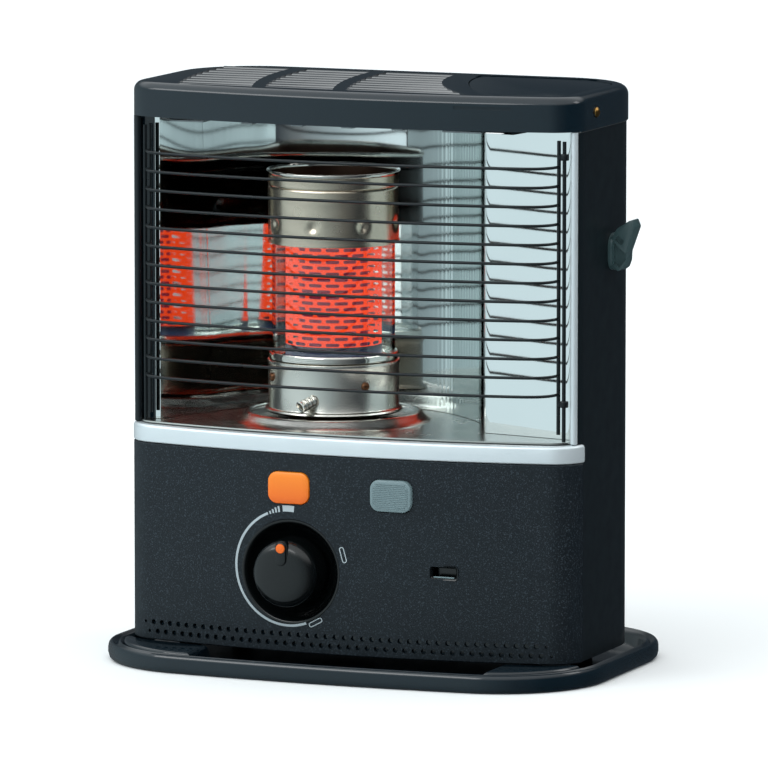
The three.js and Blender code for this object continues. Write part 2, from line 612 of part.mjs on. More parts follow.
function addFuelSystem() {
  const tankX = (TANK.x0 + TANK.x1) / 2;
  const tankY = (TANK.y0 + TANK.y1) / 2;
  const shell = cut(box(-110, 178, -42, 54, 24, 59.5), box(-108.8, 176.8, -40.8, 52.8, 25.2, 58.3));
  const airTube = post(BURNER_X, BURNER_Y, 24, WICK_TOP - 6, 30.6, 28);
  const airBore = post(BURNER_X, BURNER_Y, 10, WICK_TOP, 29.4, 28);
  const wickMouth = post(BURNER_X, BURNER_Y, 50, 65, 36.3, 28);
  const tankWell = post(tankX, tankY, 50, 65, 25, 32);
  const floatSlot = box(GAUGE.x - 4, GAUGE.x + 4, -40.5, 2, 50, 65);
  part('fuel_reservoir', cut(join(cut(shell, wickMouth, tankWell, floatSlot), airTube), airBore), 'galvanised');

  const outline = roundedRectangle(tankX, tankY, TANK.x1 - TANK.x0, TANK.y1 - TANK.y0, TANK.radius, 4);
  const inner = roundedRectangle(tankX, tankY, TANK.x1 - TANK.x0 - 2, TANK.y1 - TANK.y0 - 2, TANK.radius - 1, 4);
  const tank = cut(raised(outline, TANK.z0, TANK.z1), raised(inner, TANK.z0 + 1, TANK.z1 - 1));
  part('cartridge_tank', cut(tank, post(tankX, tankY, 60, 64, 8, 24)), 'galvanised');
  const cap = turned([[0, 44], [0, 46], [19, 46], [19, 61.4], [22, 61.4], [22, 44]], tankX, tankY, 32);
  part('tank_cap', cut(cap, post(tankX, tankY, 40, 50, 4, 16)), 'blackPlastic');
  const bail = cut(
    raised(roundedRectangle(tankX, tankY, 52, 44, 8), TANK.z1 + GAP, TANK.z1 + 5),
    raised(roundedRectangle(tankX, tankY, 44, 36, 5), TANK.z1, TANK.z1 + 6),
  );
  part('tank_handle', bail, 'blackPlastic');

  const arm = bar([[GAUGE.x, -80, 87], [GAUGE.x, -10, 46]], 1.2, { sides: 8 });
  const flag = box(GAUGE.x - 8, GAUGE.x + 8, -83, -79.6, 83, 93);
  const float = box(GAUGE.x - 3.4, GAUGE.x + 3.4, -20, 0, 36, 47);
  const pin = pinX(FLOAT_Y, FLOAT_Z, GAUGE.x - 7, GAUGE.x + 7, 0.9, 10);
  part('fuel_float', join(arm, flag, float, pin), 'blackPlastic');
  const cheeks = [-6, 4].map((x) => box(GAUGE.x + x, GAUGE.x + x + 2, FLOAT_Y - 4, FLOAT_Y + 4, 18.8, 75));
  const foot = box(GAUGE.x - 6, GAUGE.x + 6, FLOAT_Y - 4, FLOAT_Y + 4, 18.8, 20.4);
  const pinRoom = pinX(FLOAT_Y, FLOAT_Z, GAUGE.x - 9, GAUGE.x + 9, 1, 10);
  const bracket = cut(join(foot, ...cheeks), pinRoom);
  part('float_bracket', bracket, 'galvanised');
}

function addQuakeRelease() {
  const bracket = join(box(34, 60, -58, -40, 108, 110), box(34, 36, -58, -40, 60, 110), box(34, 60, -58, -40, 60, 62));
  part('pendulum_bracket', bracket, 'galvanised');
  const weight = join(post(48, -49, 78, 96, 7, 20), post(48, -49, 95, 107, 1.4, 10));
  part('pendulum_weight', weight, 'brass');
}

function addBatteryBox() {
  const caseBody = cut(box(-123, -53, 60, 97.9, 92, 168), box(-121.8, -54.2, 61.2, 99, 93.2, 166.8));
  part('battery_case', caseBody, 'blackPlastic');
  for (const [name, z] of [['lower', 111], ['upper', 149]]) {
    part(`battery_cell_${name}`, pinX(79, z, -119.5, -56.5, CELL_RADIUS, 24), 'silverTrim');
  }
  const door = box(-123, -53, 98.6, 100.2, 92.4, 168);
  const pull = box(-98, -78, 100, 102.4, 160, 164);
  part('battery_cover', join(door, pull), 'blackPlastic');
}

function addGuard() {
  const wires = [];
  for (let i = 0; i < WIRE_COUNT; i += 1) {
    const z = WIRE_TOP - i * WIRE_PITCH;
    const half = [[GUARD_X, GUARD_Y], [171, -83], [150, -91], [100, -99.5], [50, -104.5]];
    const left = half.map(([x, y]) => [-x, y, z]);
    const right = half.map(([x, y]) => [x, y, z]).reverse();
    wires.push(bar([...left, [0, -106, z], ...right], WIRE_RADIUS, { sides: 4, steps: 12, smooth: true }));
  }
  const low = DECK_TOP + 6;
  const high = 439;
  const posts = [-1, 1].map((side) => post(side * GUARD_X, GUARD_Y, low, high, 1.5, 6));
  const eyes = [224, 423].map((z) => {
    const eye = cut(post(PIVOT_X, PIVOT_Y, z, z + 5, 3.6, 16), post(PIVOT_X, PIVOT_Y, z - 1, z + 6, 1.9, 12));
    return join(eye, box(GUARD_X, PIVOT_X - 2.2, GUARD_Y - 0.6, GUARD_Y + 1, z + 1, z + 4));
  });
  part('wire_guard', join(...wires, ...posts, ...eyes), 'steelWire');
  part('guard_pivot_rod', post(PIVOT_X, PIVOT_Y, DECK_TOP + GAP, 438, 1.6, 12), 'steelWire');
  part('guard_latch_rod', post(-PIVOT_X, PIVOT_Y, DECK_TOP + GAP, 438, 1.6, 12), 'steelWire');
}

function addSideHandles() {
  for (const [name, side] of [['left', -1], ['right', 1]]) {
    const wedge = [[195.6, 331], [204, 326.5], [211.8, 336], [212.8, 345], [220, 363], [212, 368.5], [200, 361], [195.6, 356]];
    const grip = carriedY(wedge.map(([x, z]) => [side * x, z]), 4, 26);
    const base = [[side * (BODY.halfWidth + GAP), 322], [side * 199, 324], [side * 199, 360], [side * (BODY.halfWidth + GAP), 362]];
    part(`side_handle_${name}`, join(grip, carriedY(base, -3, 32)), 'blackPlastic');
  }
}

function addScrews() {
  for (const [name, side] of [['left', -1], ['right', 1]]) {
    const screw = (z, inner) => {
      const ends = [[inner, 197.9], [196.8, 199.2]].map((run) => run.map((x) => side * x).sort((a, b) => a - b));
      return join(pinX(-28, z, ends[0][0], ends[0][1], 1.8, 10), pinX(-28, z, ends[1][0], ends[1][1], 4.2, 12));
    };
    part(`cover_screw_${name}`, screw(SCREW_Z, 194.9), 'brass');
  }
}

addTray();
addFeet();
addCabinet();
addFrontPanel();
addTopCover();
addReflector();
addDeck();
addBurner();
addWickDrive();
addButtons();
addFuelSystem();
addQuakeRelease();
addBatteryBox();
addGuard();
addSideHandles();
addScrews();

export default heater;
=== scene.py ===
"""Looks of a portable radiant kerosene heater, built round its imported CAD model.

Sizes are in millimetres in the object's own frame: X to the viewer's right, Y to the back, Z up from
the floor. Every new piece rides on the CAD body that moves it.
"""
import logging
import math
from dataclasses import dataclass, field
from enum import Enum
from typing import Callable, Sequence

import bmesh
import bpy
from mathutils import Matrix, Vector


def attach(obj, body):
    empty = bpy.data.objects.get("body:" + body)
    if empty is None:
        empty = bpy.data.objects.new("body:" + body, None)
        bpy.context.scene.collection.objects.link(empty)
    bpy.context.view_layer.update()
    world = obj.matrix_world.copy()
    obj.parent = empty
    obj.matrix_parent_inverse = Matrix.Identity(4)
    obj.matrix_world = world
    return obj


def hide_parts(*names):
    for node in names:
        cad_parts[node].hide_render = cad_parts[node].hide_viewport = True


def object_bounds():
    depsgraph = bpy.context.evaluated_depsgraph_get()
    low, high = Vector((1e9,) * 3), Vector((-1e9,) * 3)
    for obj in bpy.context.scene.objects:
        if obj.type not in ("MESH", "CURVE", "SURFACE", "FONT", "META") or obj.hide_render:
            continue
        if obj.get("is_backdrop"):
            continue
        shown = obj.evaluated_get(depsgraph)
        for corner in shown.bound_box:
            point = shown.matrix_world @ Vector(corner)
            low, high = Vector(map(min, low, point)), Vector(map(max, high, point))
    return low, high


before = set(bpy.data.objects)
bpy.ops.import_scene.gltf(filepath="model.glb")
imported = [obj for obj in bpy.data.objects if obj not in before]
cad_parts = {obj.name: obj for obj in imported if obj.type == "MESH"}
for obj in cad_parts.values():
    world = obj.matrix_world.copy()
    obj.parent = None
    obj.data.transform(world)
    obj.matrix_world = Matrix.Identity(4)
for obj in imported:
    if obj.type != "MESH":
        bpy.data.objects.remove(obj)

LOG = logging.getLogger("heater")
MM = 0.001
CABINET = "cabinet"
Point = Sequence[float]


# ---- finishes -----------------------------------------------------------------------------------


def linear(color: str) -> tuple[float, float, float, float]:
    """Turns an sRGB hex colour into linear RGBA.

    Args:
        color: Six hex digits, such as "1b2226".

    Returns:
        The linear colour with alpha 1.
    """
    channels = [int(color[i:i + 2], 16) / 255 for i in (0, 2, 4)]
    return (*[c / 12.92 if c <= 0.04045 else ((c + 0.055) / 1.055) ** 2.4 for c in channels], 1.0)


def add_node(tree: bpy.types.NodeTree, kind: str, values: dict | None = None, links: dict | None = None,
             **settings: object) -> bpy.types.Node:
    """Adds a node with its settings, input values and incoming links.

    Args:
        tree: The node tree that gets the node.
        kind: The node's type name.
        values: Input names or numbers, with the constants they hold.
        links: Input names or numbers, with the sockets that feed them.
        settings: Attributes of the node itself.

    Returns:
        The new node.
    """
    node = tree.nodes.new(kind)
    for key, value in settings.items():
        setattr(node, key, value)
    for key, value in (values or {}).items():
        node.inputs[key].default_value = value
    for key, socket in (links or {}).items():
        tree.links.new(socket, node.inputs[key])
    return node


class Grain(Enum):
    """How a surface's fine pattern is stretched along X, Y and Z."""

    EVEN = (1.0, 1.0, 1.0)
    UPRIGHT = (1.0, 1.0, 0.02)
    ROUND = (0.06, 0.06, 1.0)


@dataclass(frozen=True)
class Finish:
    """One finish: its colour, its shine and the fine pattern its making leaves.

    The pattern's size is a real one in millimetres, and its relief is in millimetres as well.
    """

    name: str
    color: str
    roughness: float
    metallic: float = 0.0
    ior: float = 1.5
    specular: float = 0.5
    coat: float = 0.0
    grain: Grain = Grain.EVEN
    grain_mm: float = 1.5
    relief_mm: float = 0.01
    mottle: float = 0.12
    mottle_mm: float = 25.0
    painted_glint: float = 0.0
    tint: str = ""
    tint_from: float = 0.0
    tint_to: float = 0.0
    tint_along: tuple[float, float, float] = (0.0, 1.0, 0.0)
    glow: float = 0.0
    clear: float = 0.0

    def material(self) -> bpy.types.Material:
        """Makes this finish as a material the first time it is asked for.

        Returns:
            The material.
        """
        made = bpy.data.materials.get(self.name)
        if made is not None:
            return made
        made = bpy.data.materials.new(self.name)
        made.use_nodes = True
        tree = made.node_tree
        tree.nodes.clear()
        shader = add_node(tree, "ShaderNodeBsdfPrincipled", {
            "Metallic": self.metallic, "Transmission Weight": self.clear, "Coat Weight": self.coat,
            "Coat Roughness": 0.06, "Specular IOR Level": self.specular, "Emission Strength": self.glow,
        })
        if self.metallic < 1.0:
            shader.inputs["IOR"].default_value = self.ior
        add_node(tree, "ShaderNodeOutputMaterial", links={"Surface": shader.outputs["BSDF"]})
        place = add_node(tree, "ShaderNodeTexCoord").outputs["Object"]
        self._color(tree, shader, place)
        self._shine(tree, shader, place)
        self._relief(tree, shader, place)
        made.diffuse_color = linear(self.color)
        return made

    def _noise(self, tree: bpy.types.NodeTree, place: bpy.types.NodeSocket, size_mm: float, detail: float,
               stretch: Point = (1.0, 1.0, 1.0)) -> bpy.types.NodeSocket:
        """Adds a noise pattern of a real size.

        Args:
            tree: The material's node tree.
            place: The socket with object coordinates.
            size_mm: How far across its features are.
            detail: Octaves of finer detail.
            stretch: Scale along X, Y and Z.

        Returns:
            The noise's value.
        """
        mapped = add_node(tree, "ShaderNodeMapping", {"Scale": stretch}, {"Vector": place})
        noise = add_node(tree, "ShaderNodeTexNoise", {"Scale": 1.0 / (size_mm * MM), "Detail": detail},
                         {"Vector": mapped.outputs["Vector"]})
        return noise.outputs["Fac"]

    def _color(self, tree: bpy.types.NodeTree, shader: bpy.types.Node, place: bpy.types.NodeSocket) -> None:
        """Feeds the base colour: slow mottling, then painted glints on the grit, then the tint along one axis.

        Args:
            tree: The material's node tree.
            shader: The shader that is fed.
            place: The socket with object coordinates.
        """
        base = linear(self.color)
        dark = tuple(c * (1.0 - self.mottle) for c in base[:3]) + (1.0,)
        light = tuple(min(1.0, c * (1.0 + self.mottle)) for c in base[:3]) + (1.0,)
        slow = self._noise(tree, place, self.mottle_mm, 2.0)
        mixed = self._mix(tree, slow, dark, light)
        # Painted glints: bright specks on the grit peaks stand in for light catching them.
        if self.painted_glint > 0.0:
            fine = self._noise(tree, place, self.grain_mm, 1.0)
            sharp = add_node(tree, "ShaderNodeMapRange", {"From Min": 0.55, "From Max": 0.72, "To Max": self.painted_glint},
                             {"Value": fine}).outputs["Result"]
            bright = tuple(min(1.0, c * 6.0 + 0.03) for c in base[:3]) + (1.0,)
            mixed = self._mix(tree, sharp, mixed, bright)
        # The tint along one axis paints shade on the steel cylinders' side towards the mirror and light on the orange
        # button's top; on the flame band it is the band's own dark colour.
        if self.tint:
            along = add_node(tree, "ShaderNodeVectorMath", {1: self.tint_along}, {0: place}, operation="DOT_PRODUCT")
            share = add_node(tree, "ShaderNodeMapRange",
                             {"From Min": self.tint_from * MM, "From Max": self.tint_to * MM},
                             {"Value": along.outputs["Value"]}).outputs["Result"]
            mixed = self._mix(tree, share, mixed, linear(self.tint))
        if self.glow > 0.0:
            shader.inputs["Base Color"].default_value = tuple(c * 0.12 for c in base[:3]) + (1.0,)
            tree.links.new(mixed, shader.inputs["Emission Color"])
        else:
            tree.links.new(mixed, shader.inputs["Base Color"])

    def _mix(self, tree: bpy.types.NodeTree, share: bpy.types.NodeSocket, first: object,
             second: object) -> bpy.types.NodeSocket:
        """Mixes two colours.

        Args:
            tree: The material's node tree.
            share: The second one's share.
            first: A colour or a socket.
            second: A colour or a socket.

        Returns:
            The mixed colour.
        """
        node = add_node(tree, "ShaderNodeMix", data_type="RGBA")
        tree.links.new(share, node.inputs[0])
        for number, source in ((6, first), (7, second)):
            if isinstance(source, tuple):
                node.inputs[number].default_value = source
            else:
                tree.links.new(source, node.inputs[number])
        return node.outputs[2]

    def _shine(self, tree: bpy.types.NodeTree, shader: bpy.types.Node, place: bpy.types.NodeSocket) -> None:
        """Feeds a roughness that drifts a little over the surface.

        Args:
            tree: The material's node tree.
            shader: The shader that is fed.
            place: The socket with object coordinates.
        """
        if self.clear > 0.0:
            shader.inputs["Roughness"].default_value = self.roughness
            return
        drift = self._noise(tree, place, self.mottle_mm * 0.6, 3.0)
        ranged = add_node(tree, "ShaderNodeMapRange", {
            "From Min": 0.25, "From Max": 0.75, "To Min": self.roughness * 0.85, "To Max": self.roughness * 1.2,
        }, {"Value": drift})
        tree.links.new(ranged.outputs["Result"], shader.inputs["Roughness"])

    def _relief(self, tree: bpy.types.NodeTree, shader: bpy.types.Node, place: bpy.types.NodeSocket) -> None:
        """Feeds the fine relief of the grain.

        Args:
            tree: The material's node tree.
            shader: The shader that is fed.
            place: The socket with object coordinates.
        """
        if self.relief_mm <= 0.0:
            return
        fine = self._noise(tree, place, self.grain_mm, 2.0, self.grain.value)
        bump = add_node(tree, "ShaderNodeBump", {"Strength": 1.0, "Distance": self.relief_mm * MM}, {"Height": fine})
        tree.links.new(bump.outputs["Normal"], shader.inputs["Normal"])


# Baked enamel over pressed steel: a hard black gloss with a faint orange peel about 3 mm across.
ENAMEL = Finish("baked_black_enamel", "0a1820", 0.11, specular=0.42, coat=0.12, grain_mm=3.0, relief_mm=0.004,
                mottle=0.1)
# The same enamel on the casing, sprayed thinner, so that it stays satin.
SATIN_ENAMEL = Finish("satin_black_enamel", "0b151a", 0.34, specular=0.4, grain_mm=3.0, relief_mm=0.006, mottle=0.1)
# The slats take more enamel, which pools to a wet gloss on their upper side.
WET_ENAMEL = Finish("pooled_black_enamel", "10191e", 0.16, specular=0.6, coat=1.0, grain_mm=3.0, relief_mm=0.004)
# Textured powder paint: matt, its grit drawn at 1.1 mm so that it shows, with bright specks painted on as glints off
# the grit.
GRIT_PAINT = Finish("textured_powder_paint", "10181e", 0.42, specular=0.28, grain_mm=1.1, relief_mm=0.09,
                    mottle=0.15, painted_glint=0.4)
# Silver paint with fine aluminium flake under a satin varnish.
SILVER_PAINT = Finish("satin_silver_paint", "d3dce0", 0.36, metallic=0.5, grain_mm=0.8, relief_mm=0.008,
                      mottle=0.03, coat=0.3)
# Moulded ABS, polished: deep black with a soft shine.
BLACK_ABS = Finish("polished_black_abs", "06090a", 0.2, specular=0.4, coat=0.15, grain_mm=4.0, relief_mm=0.002)
# Moulded glass-filled nylon: dark grey-green and duller.
GRIP_NYLON = Finish("moulded_dark_nylon", "34484a", 0.3, grain_mm=1.0, relief_mm=0.02)
# Bright plated sheet: a mirror with the slight waviness of rolled steel.
MIRROR_SHEET = Finish("bright_plated_sheet", "e3e9e8", 0.05, metallic=1.0, grain=Grain.UPRIGHT, grain_mm=16.0,
                      relief_mm=0.05, mottle=0.03, mottle_mm=60.0)
# The same sheet on the deck, satin from heat and cleaning.
DECK_SHEET = Finish("plated_deck_sheet", "cfcdc8", 0.24, metallic=1.0, grain_mm=40.0, relief_mm=0.03,
                    mottle=0.06, mottle_mm=40.0)
# The side of each cylinder that faces the mirror is painted darker, as painted shade that the mirror shows.
REARWARD = (-0.378, 0.926, 0.0)
# Drawn stainless steel, straw coloured, its turning marks running round it, its side towards the mirror painted near
# black as shade.
HOT_STEEL = Finish("heat_tinted_stainless_painted_shade", "d5c9b6", 0.24, metallic=1.0, grain=Grain.ROUND, grain_mm=0.8,
                   relief_mm=0.006, mottle=0.05, tint="140f0d", tint_from=13.0, tint_to=24.0, tint_along=REARWARD)
# The drum's steel, its side towards the mirror painted a greyish brown as shade.
DRUM_STEEL = Finish("drawn_stainless_painted_shade", "d6d4cc", 0.24, metallic=1.0, grain=Grain.ROUND, grain_mm=0.8,
                    relief_mm=0.006, mottle=0.04, tint="73675a", tint_from=13.0, tint_to=30.0, tint_along=REARWARD)
# The chimney's inside, browned all over.
SOOTED_STEEL = Finish("browned_steel", "6f5547", 0.32, metallic=1.0, grain=Grain.ROUND, grain_mm=0.8,
                      relief_mm=0.006, mottle=0.25)
# Bright polished beads and rims.
BRIGHT_STEEL = Finish("polished_stainless", "e0ddd5", 0.1, metallic=1.0, relief_mm=0.003, mottle=0.03)
# Wire plated almost black.
DARK_WIRE = Finish("dark_plated_wire", "141b1e", 0.3, metallic=0.4, grain_mm=0.6, relief_mm=0.003)
# Zinc plated sheet, grey and slightly cloudy.
ZINC = Finish("zinc_plated_steel", "8d9496", 0.42, metallic=0.9, grain_mm=2.0, relief_mm=0.01, mottle=0.15,
              mottle_mm=12.0)
# Brass under the burner, painted dark as the shade in the gap round the burner's foot.
DARK_BRASS = Finish("brass_with_painted_shade", "3a2f22", 0.5, metallic=1.0, grain_mm=0.6, relief_mm=0.01, mottle=0.2)
# Turned brass: yellow metal, evenly fine.
BRASS = Finish("turned_brass", "a9834a", 0.28, metallic=1.0, grain_mm=0.5, relief_mm=0.004)
# Small screws, blued and browned by heat.
HOT_SCREW = Finish("heat_browned_screw", "6a4a36", 0.3, metallic=1.0, grain_mm=0.6, relief_mm=0.004)
# Moulded orange ABS with a fine eggshell skin, painted a little paler towards its top as light from above.
ORANGE_ABS = Finish("moulded_orange_abs", "e26400", 0.4, grain_mm=0.9, relief_mm=0.005, mottle=0.04,
                    tint="f08a1c", tint_from=140.0, tint_to=170.0, tint_along=(0.0, 0.0, 1.0))
# The same plastic in a cool grey.
GREY_ABS = Finish("moulded_grey_abs", "6c8084", 0.45, grain_mm=0.9, relief_mm=0.005, mottle=0.04)
# Screen printed ink: flat, pale and matt.
PRINT_INK = Finish("pale_print_ink", "a4b0b5", 0.6, grain_mm=0.6, relief_mm=0.002, mottle=0.06)
# Heat resisting glass, clear and smooth.
HEAT_GLASS = Finish("heat_resisting_glass", "f7fbfa", 0.0, clear=1.0, ior=1.46, relief_mm=0.0, mottle=0.0)
# Perforated steel at red heat, brighter in patches.
RED_HEAT = Finish("red_hot_steel", "ff4418", 0.7, specular=0.2, glow=1.0, mottle=0.16, mottle_mm=16.0, grain_mm=1.2,
                  relief_mm=0.02)
# The inner cylinder is less hot: a dull red in uneven patches.
DULL_HEAT = Finish("dull_red_steel", "8c2444", 0.6, glow=0.42, mottle=0.6, mottle_mm=7.0, grain_mm=1.2,
                   relief_mm=0.02)
# The lowest part of the flame burns blue against the dark band.
BLUE_ZONE = Finish("blue_flame_zone", "5a719c", 0.35, glow=0.2, mottle=0.4, mottle_mm=9.0,
                   tint="2a2c3c", tint_from=253.0, tint_to=258.0, tint_along=(0.0, 0.0, 1.0))
# Woven cotton: cream, without any shine, its weave about a millimetre.
COTTON = Finish("woven_wick_cotton", "cfc4a8", 0.95, grain_mm=1.2, relief_mm=0.15, mottle=0.15)
# Moulded rubber: matt and nearly black.
RUBBER = Finish("moulded_rubber", "171717", 0.8, grain_mm=1.0, relief_mm=0.03)
# A battery's plain foil jacket, without print.
CELL_JACKET = Finish("plain_cell_jacket", "7f878a", 0.3, metallic=0.6, grain_mm=1.0, relief_mm=0.004)


# ---- mesh tools ---------------------------------------------------------------------------------


@dataclass(frozen=True)
class Plan:
    """A plan with straight sides, round corners and a bowed front, whose insets stay parallel."""

    half_width: float
    rear: float
    rear_radius: float
    front: float
    bow_radius: float
    corner_radius: float

    def outline(self, inset: float, corner: int = 14, bow: int = 36) -> list[Point]:
        """Draws the plan at an inset.

        Args:
            inset: How far inside the plan it lies; a negative one lies outside.
            corner: Parts in each front corner.
            bow: Parts along the bowed front.

        Returns:
            The points, anticlockwise from the right rear corner.
        """
        centre = self.front + self.bow_radius
        corner_x = self.half_width - self.corner_radius
        reach = self.bow_radius - self.corner_radius
        corner_y = centre - math.sqrt(reach ** 2 - corner_x ** 2)
        swing = math.asin(corner_x / reach)
        rear_x = self.half_width - self.rear_radius
        rear_y = self.rear - self.rear_radius
        down = 1.5 * math.pi
        small = max(self.corner_radius - inset, 0.5)
        return [
            *arc(rear_x, rear_y, self.rear_radius - inset, 0.0, math.pi / 2, corner + 6),
            *arc(-rear_x, rear_y, self.rear_radius - inset, math.pi / 2, math.pi, corner + 6),
            *arc(-corner_x, corner_y, small, math.pi, down - swing, corner),
            *arc(0.0, centre, self.bow_radius - inset, down - swing, down + swing, bow)[1:-1],
            *arc(corner_x, corner_y, small, down + swing, 2 * math.pi, corner),
        ]

    def front_y(self, x: float, inset: float = 0.0) -> float:
        """Returns the bowed front's Y at x."""
        return self.front + self.bow_radius - math.sqrt((self.bow_radius - inset) ** 2 - x ** 2)


TRAY_PLAN = Plan(215.0, 148.0, 94.0, -148.0, 1500.0, 92.0)
BODY_PLAN = Plan(195.0, 100.0, 67.0, -95.0, 800.0, 27.0)
# The two buttons' centres in X and Z, which the panel's openings and the caps share.
IGNITION = (-42.5, 151.0)
SHUTOFF = (46.5, 149.0)


def arc(cx: float, cy: float, radius: float, start: float, end: float, steps: int) -> list[Point]:
    """Returns steps + 1 points along an arc, angles in radians."""
    turns = [start + (end - start) * i / steps for i in range(steps + 1)]
    return [(cx + radius * math.cos(t), cy + radius * math.sin(t)) for t in turns]


def rounded(cx: float, cy: float, width: float, height: float, radius: float, steps: int = 8) -> list[Point]:
    """Draws a rounded rectangle about a centre.

    Args:
        cx: The centre's first coordinate.
        cy: Its second.
        width: The full width.
        height: The full height.
        radius: The corner radius.
        steps: Parts in each corner.

    Returns:
        The outline, anticlockwise.
    """
    x = width / 2 - radius
    y = height / 2 - radius
    quarter = math.pi / 2
    corners = ((x, -y, -1), (x, y, 0), (-x, y, 1), (-x, -y, 2))
    return [p for dx, dy, k in corners for p in arc(cx + dx, cy + dy, radius, k * quarter, (k + 1) * quarter, steps)]


def level(points: Sequence[Point], z: float) -> list[Vector]:
    """Returns plan points at one height, in metres."""
    return [Vector((x, y, z)) * MM for x, y in points]


def upright(points: Sequence[Point], y: float) -> list[Vector]:
    """Returns points given in X and Z at one Y, in metres."""
    return [Vector((x, y, z)) * MM for x, z in points]


def loft(rings: Sequence[Sequence[Vector]], closed: bool = False) -> bmesh.types.BMesh:
    """Extrudes a ring of points through further rings into one skin.

    Args:
        rings: The rings in order, each with the same number of points.
        closed: True joins the last ring to the first, False caps both ends.

    Returns:
        The closed mesh.
    """
    bm = bmesh.new()
    verts = [bm.verts.new(p) for p in rings[0]]
    edges = [bm.edges.new((a, b)) for a, b in zip(verts, verts[1:] + verts[:1])]
    first = edges
    for ring in [*rings[1:], *(rings[:1] if closed else [])]:
        grown = bmesh.ops.extrude_edge_only(bm, edges=edges)["geom"]
        fresh = {v for v in grown if isinstance(v, bmesh.types.BMVert)}
        verts = [next(e.other_vert(v) for e in v.link_edges if e.other_vert(v) in fresh) for v in verts]
        for vert, point in zip(verts, ring):
            vert.co = point
        edges = [e for e in grown if isinstance(e, bmesh.types.BMEdge) and all(v in fresh for v in e.verts)]
    if closed:
        bmesh.ops.remove_doubles(bm, verts=bm.verts, dist=0.001 * MM)
    else:
        for loop in (first, edges):
            bmesh.ops.edgeloop_fill(bm, edges=loop)
    bmesh.ops.recalc_face_normals(bm, faces=bm.faces)
    return bm


def prism(outline: Sequence[Vector], travel: Point) -> bmesh.types.BMesh:
    """Carries a flat outline along a direction into a closed solid.

    Args:
        outline: The outline's points, in metres.
        travel: How far it is carried, in millimetres.

    Returns:
        The solid.
    """
    bm = bmesh.new()
    face = bm.faces.new([bm.verts.new(p) for p in outline])
    grown = bmesh.ops.extrude_face_region(bm, geom=[face], use_keep_orig=True)["geom"]
    moved = [v for v in grown if isinstance(v, bmesh.types.BMVert)]
    bmesh.ops.translate(bm, vec=Vector(travel) * MM, verts=moved)
    bmesh.ops.recalc_face_normals(bm, faces=bm.faces)
    return bm


def block(low: Point, high: Point) -> bmesh.types.BMesh:
    """Makes a box.

    Args:
        low: Its lowest corner, in millimetres.
        high: Its highest corner.

    Returns:
        The box.
    """
    bm = bmesh.new()
    size = [h - l for l, h in zip(low, high)]
    middle = [(h + l) / 2 * MM for l, h in zip(low, high)]
    matrix = Matrix.Translation(middle) @ Matrix.Diagonal((*[s * MM for s in size], 1.0))
    bmesh.ops.create_cube(bm, size=1.0, matrix=matrix)
    return bm


class Axis(Enum):
    """The axis a round piece is turned about."""

    X = (1.0, 0.0, 0.0)
    Y = (0.0, 1.0, 0.0)
    Z = (0.0, 0.0, 1.0)


def turned(profile: Sequence[Point], centre: Point, axis: Axis = Axis.Z, steps: int = 96,
           closed: bool = True) -> bmesh.types.BMesh:
    """Spins a profile of radius and height round an axis.

    Args:
        profile: Pairs of radius and distance along the axis.
        centre: A point on the axis. Its coordinate along the axis is added to the distances.
        axis: The axis of the turn.
        steps: Facets in the full turn.
        closed: True joins the profile's last point to its first.

    Returns:
        The turned mesh.
    """
    bm = bmesh.new()
    origin = Vector(centre) * MM
    along = Vector(axis.value)
    across = Vector((0.0, 0.0, 1.0)) if axis is Axis.X else Vector((1.0, 0.0, 0.0))
    verts = [bm.verts.new(origin + across * r * MM + along * h * MM) for r, h in profile]
    pairs = list(zip(verts, verts[1:]))
    if closed and profile[0][0] + profile[-1][0] > 0:
        pairs.append((verts[-1], verts[0]))
    edges = [bm.edges.new(pair) for pair in pairs]
    bmesh.ops.spin(bm, geom=verts + edges, cent=origin, axis=along, angle=2 * math.pi, steps=steps, use_merge=True)
    bmesh.ops.remove_doubles(bm, verts=bm.verts, dist=0.005 * MM)
    bmesh.ops.recalc_face_normals(bm, faces=bm.faces)
    return bm


def rod(start: Point, end: Point, radius: float, sides: int = 20) -> bmesh.types.BMesh:
    """Makes a straight round rod.

    Args:
        start: One end, in millimetres.
        end: The other end.
        radius: The rod's radius.
        sides: Facets round it.

    Returns:
        The rod, capped at both ends.
    """
    bm = bmesh.new()
    a, b = Vector(start) * MM, Vector(end) * MM
    turn = (b - a).to_track_quat("Z", "Y").to_matrix().to_4x4()
    bmesh.ops.create_cone(bm, cap_ends=True, segments=sides, radius1=radius * MM, radius2=radius * MM,
                          depth=(b - a).length, matrix=Matrix.Translation((a + b) / 2) @ turn)
    return bm


def merged(*parts: bmesh.types.BMesh) -> bmesh.types.BMesh:
    """Puts several meshes in one, without joining their surfaces.

    Args:
        parts: The meshes, which are used up.

    Returns:
        One mesh that holds them all.
    """
    whole = bmesh.new()
    for part in parts:
        mesh = bpy.data.meshes.new("part")
        part.to_mesh(mesh)
        part.free()
        whole.from_mesh(mesh)
        bpy.data.meshes.remove(mesh)
    return whole


def bevelled(bm: bmesh.types.BMesh, width: float, segments: int = 2, angle: float = 40.0) -> bmesh.types.BMesh:
    """Rounds every edge that is sharper than an angle.

    Args:
        bm: The mesh, which is changed.
        width: The bevel's width in millimetres.
        segments: Parts across it.
        angle: The angle in degrees.

    Returns:
        The same mesh.
    """
    sharp = [e for e in bm.edges if len(e.link_faces) == 2 and e.calc_face_angle(0.0) > math.radians(angle)]
    bmesh.ops.bevel(bm, geom=sharp, offset=width * MM, offset_type="OFFSET", segments=segments, profile=0.5,
                    affect="EDGES", clamp_overlap=True, material=-1)
    return bm


def temporary(bm: bmesh.types.BMesh) -> bpy.types.Object:
    """Turns a mesh into a short-lived object for a modifier.

    Args:
        bm: The mesh, which is used up.

    Returns:
        The object.
    """
    mesh = bpy.data.meshes.new("temporary")
    bm.to_mesh(mesh)
    bm.free()
    made = bpy.data.objects.new("temporary", mesh)
    bpy.context.scene.collection.objects.link(made)
    return made


